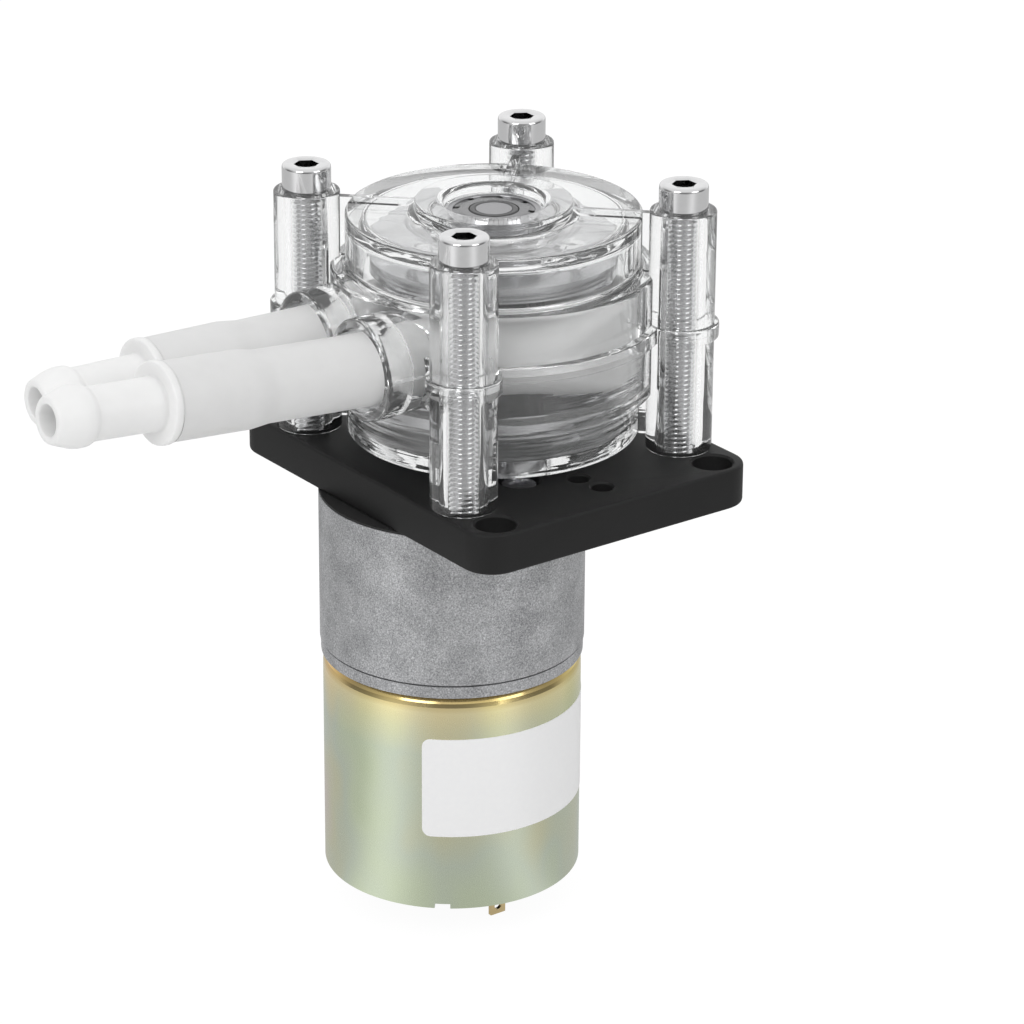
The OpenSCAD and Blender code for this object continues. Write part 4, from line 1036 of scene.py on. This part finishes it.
def curved_label(columns=120, rows=40):
    """The label bent round the can, with a little thickness."""
    reach = CAN_R + 0.07
    half = np.radians(LABEL_TO - LABEL_FROM) / 2 * reach
    middle = np.radians(LABEL_FROM + LABEL_TO) / 2
    edge = (1 - np.cos(np.linspace(0, np.pi, rows))) / 2
    z = LABEL_LOW + (LABEL_HIGH - LABEL_LOW) * edge
    into = np.clip(LABEL_CORNER - np.minimum(z - LABEL_LOW, LABEL_HIGH - z), 0, None)
    width = half - LABEL_CORNER + np.sqrt(LABEL_CORNER ** 2 - into ** 2)
    across = np.linspace(-1, 1, columns)
    a = middle + width[:, None] * across / reach
    face, back = (polar(r, a, z[:, None], (MOTOR_X, 0)) for r in (reach, CAN_R - 0.02))
    return grid(np.concatenate([np.concatenate([one, other[:, ::-1]], 1) for one, other in (
        (face[:1], face[:1]), (face, back), (face[-1:], face[-1:]))]))


glossy_paper = clouded("label paper", 1.5, (0.89, 0.89, 0.9), (0.93, 0.93, 0.93), 0.3, 0.01, 0.3,
                       detail=4, Coat_Weight=0.4, Coat_Roughness=0.12)
piece("blank_label", curved_label(), glossy_paper)

# %% [markdown]
# The case and its end ring share the cast finish, and the two solder tabs are stamped brass.

# %% Gear motor pieces
cast = die_cast()
softened("gearbox_case", "gearbox_housing", cast, 0.25)
softened("gearbox_ring", "gearbox_end_plate", cast, 0.12)
dress("motor_can", yellow_zinc())
softened("solder_tabs", "motor_terminals", brass, 0.08)

# %% [markdown]
# The photograph was taken in a white tent: white behind and above, a dimmer room on the side of
# the camera, and two soft lights left and right of it. The floor carries the same lights, for
# its reflections in upright metal. Both get their brightness from the azimuth around the pump,
# counted from the camera's side. The camera sees plain white, and a little of the pump's shadow.

# %% Stage
FLOOR_Z, FLOOR_REACH = -62.7, 6000
VIEW_FRONT = (-0.5938, -0.8046, 0.0)
VIEW_SIDE = (0.8046, -0.5938, 0.0)
PLAIN_WHITE = 1.06
LIGHTS = [(-0.86, 0.34, 0.45), (0.68, 0.3, 0.3)]


def bell(off):
    """The bell curve exp(-off^2)."""
    return np.exp(off * off * -1)


def studio(f, direction, dim, behind, sides=-0.1):
    """How bright the tent is along a direction: each soft light is a bell curve of the azimuth.
    What lies behind the pump has its own value, which reaches further round for larger sides."""
    ahead = f.vector("DOT_PRODUCT", direction, VIEW_FRONT, 1)
    azimuth = np.arctan2(f.vector("DOT_PRODUCT", direction, VIEW_SIDE, 1), ahead)
    lights = sum(bell((azimuth - middle) / width) * strength
                 for middle, width, strength in LIGHTS)
    back = ((ahead * -1 + sides) * 1.6).clamped()
    return (lights + dim) * (1 - back) + back * behind


def white_floor():
    """A floor that is white to the camera, and carries the tent's lights for shines."""
    f = Finish("white floor")
    at = f.vector("NORMALIZE", f.place())
    camera_ray, through, mirrored = (f.ray(kind) for kind in ("Camera", "Transmission", "Glossy"))
    plain, shines, within = (
        f.node("ShaderNodeEmission", {"Color": (1, 1, 1), "Strength": strength})
        for strength in (PLAIN_WHITE, studio(f, at, 0.6, 0.6), studio(f, at, 0.42, 1.0, 0.2)))
    seen = f.blend(through, f.blend(mirrored, plain, shines), within)
    matt = f.node("ShaderNodeBsdfDiffuse", {"Color": (0.9, 0.9, 0.9)})
    straight = (camera_ray + through + mirrored).clamped()
    f.end(f.blend(straight * 0.9, matt, seen))
    return f


def tent():
    """The world: plain white to the camera, and the lit tent to everything else."""
    f = Finish("tent", world=True)
    direction = f.node("ShaderNodeTexCoord", out="Generated")
    over = ((f.split(direction)[2] - 0.35) * 2.2).clamped()
    through, seen = f.ray("Transmission"), f.ray("Camera")
    round_about = studio(f, direction, through * 0.16 + 0.22, 1.0, through * 0.3 - 0.1)
    light = round_about * (1 - over) + over * 0.9
    f.end(f.node("ShaderNodeBackground", {
        "Color": (1, 1, 1), "Strength": light * (1 - seen) + seen * PLAIN_WHITE}))
    return f


def soft_light(name, place, size, power):
    """A square lamp that faces the pump's head."""
    lamp = bpy.data.lights.new(name, "AREA")
    lamp.energy, lamp.size = power, size
    made = stand(name, lamp)
    made.location = place
    made.rotation_euler = Vector(place).to_track_quat("Z", "Y").to_euler()


floor_mesh = bpy.data.meshes.new("floor")
floor_mesh.from_pydata([(x * FLOOR_REACH * MM, y * FLOOR_REACH * MM, FLOOR_Z * MM) for x, y in
                        ((-1, -1), (1, -1), (1, 1), (-1, 1))], [], [(0, 1, 2, 3)])
floor_mesh.materials.append(white_floor().material)
stand("floor", floor_mesh)
bpy.context.scene.world = tent().material
soft_light("left light", (-1.0, -0.35, 0.75), 0.6, 4)
soft_light("right light", (0.35, -1.0, 0.6), 0.6, 2.4)
bpy.context.scene.view_settings.view_transform = "Standard"
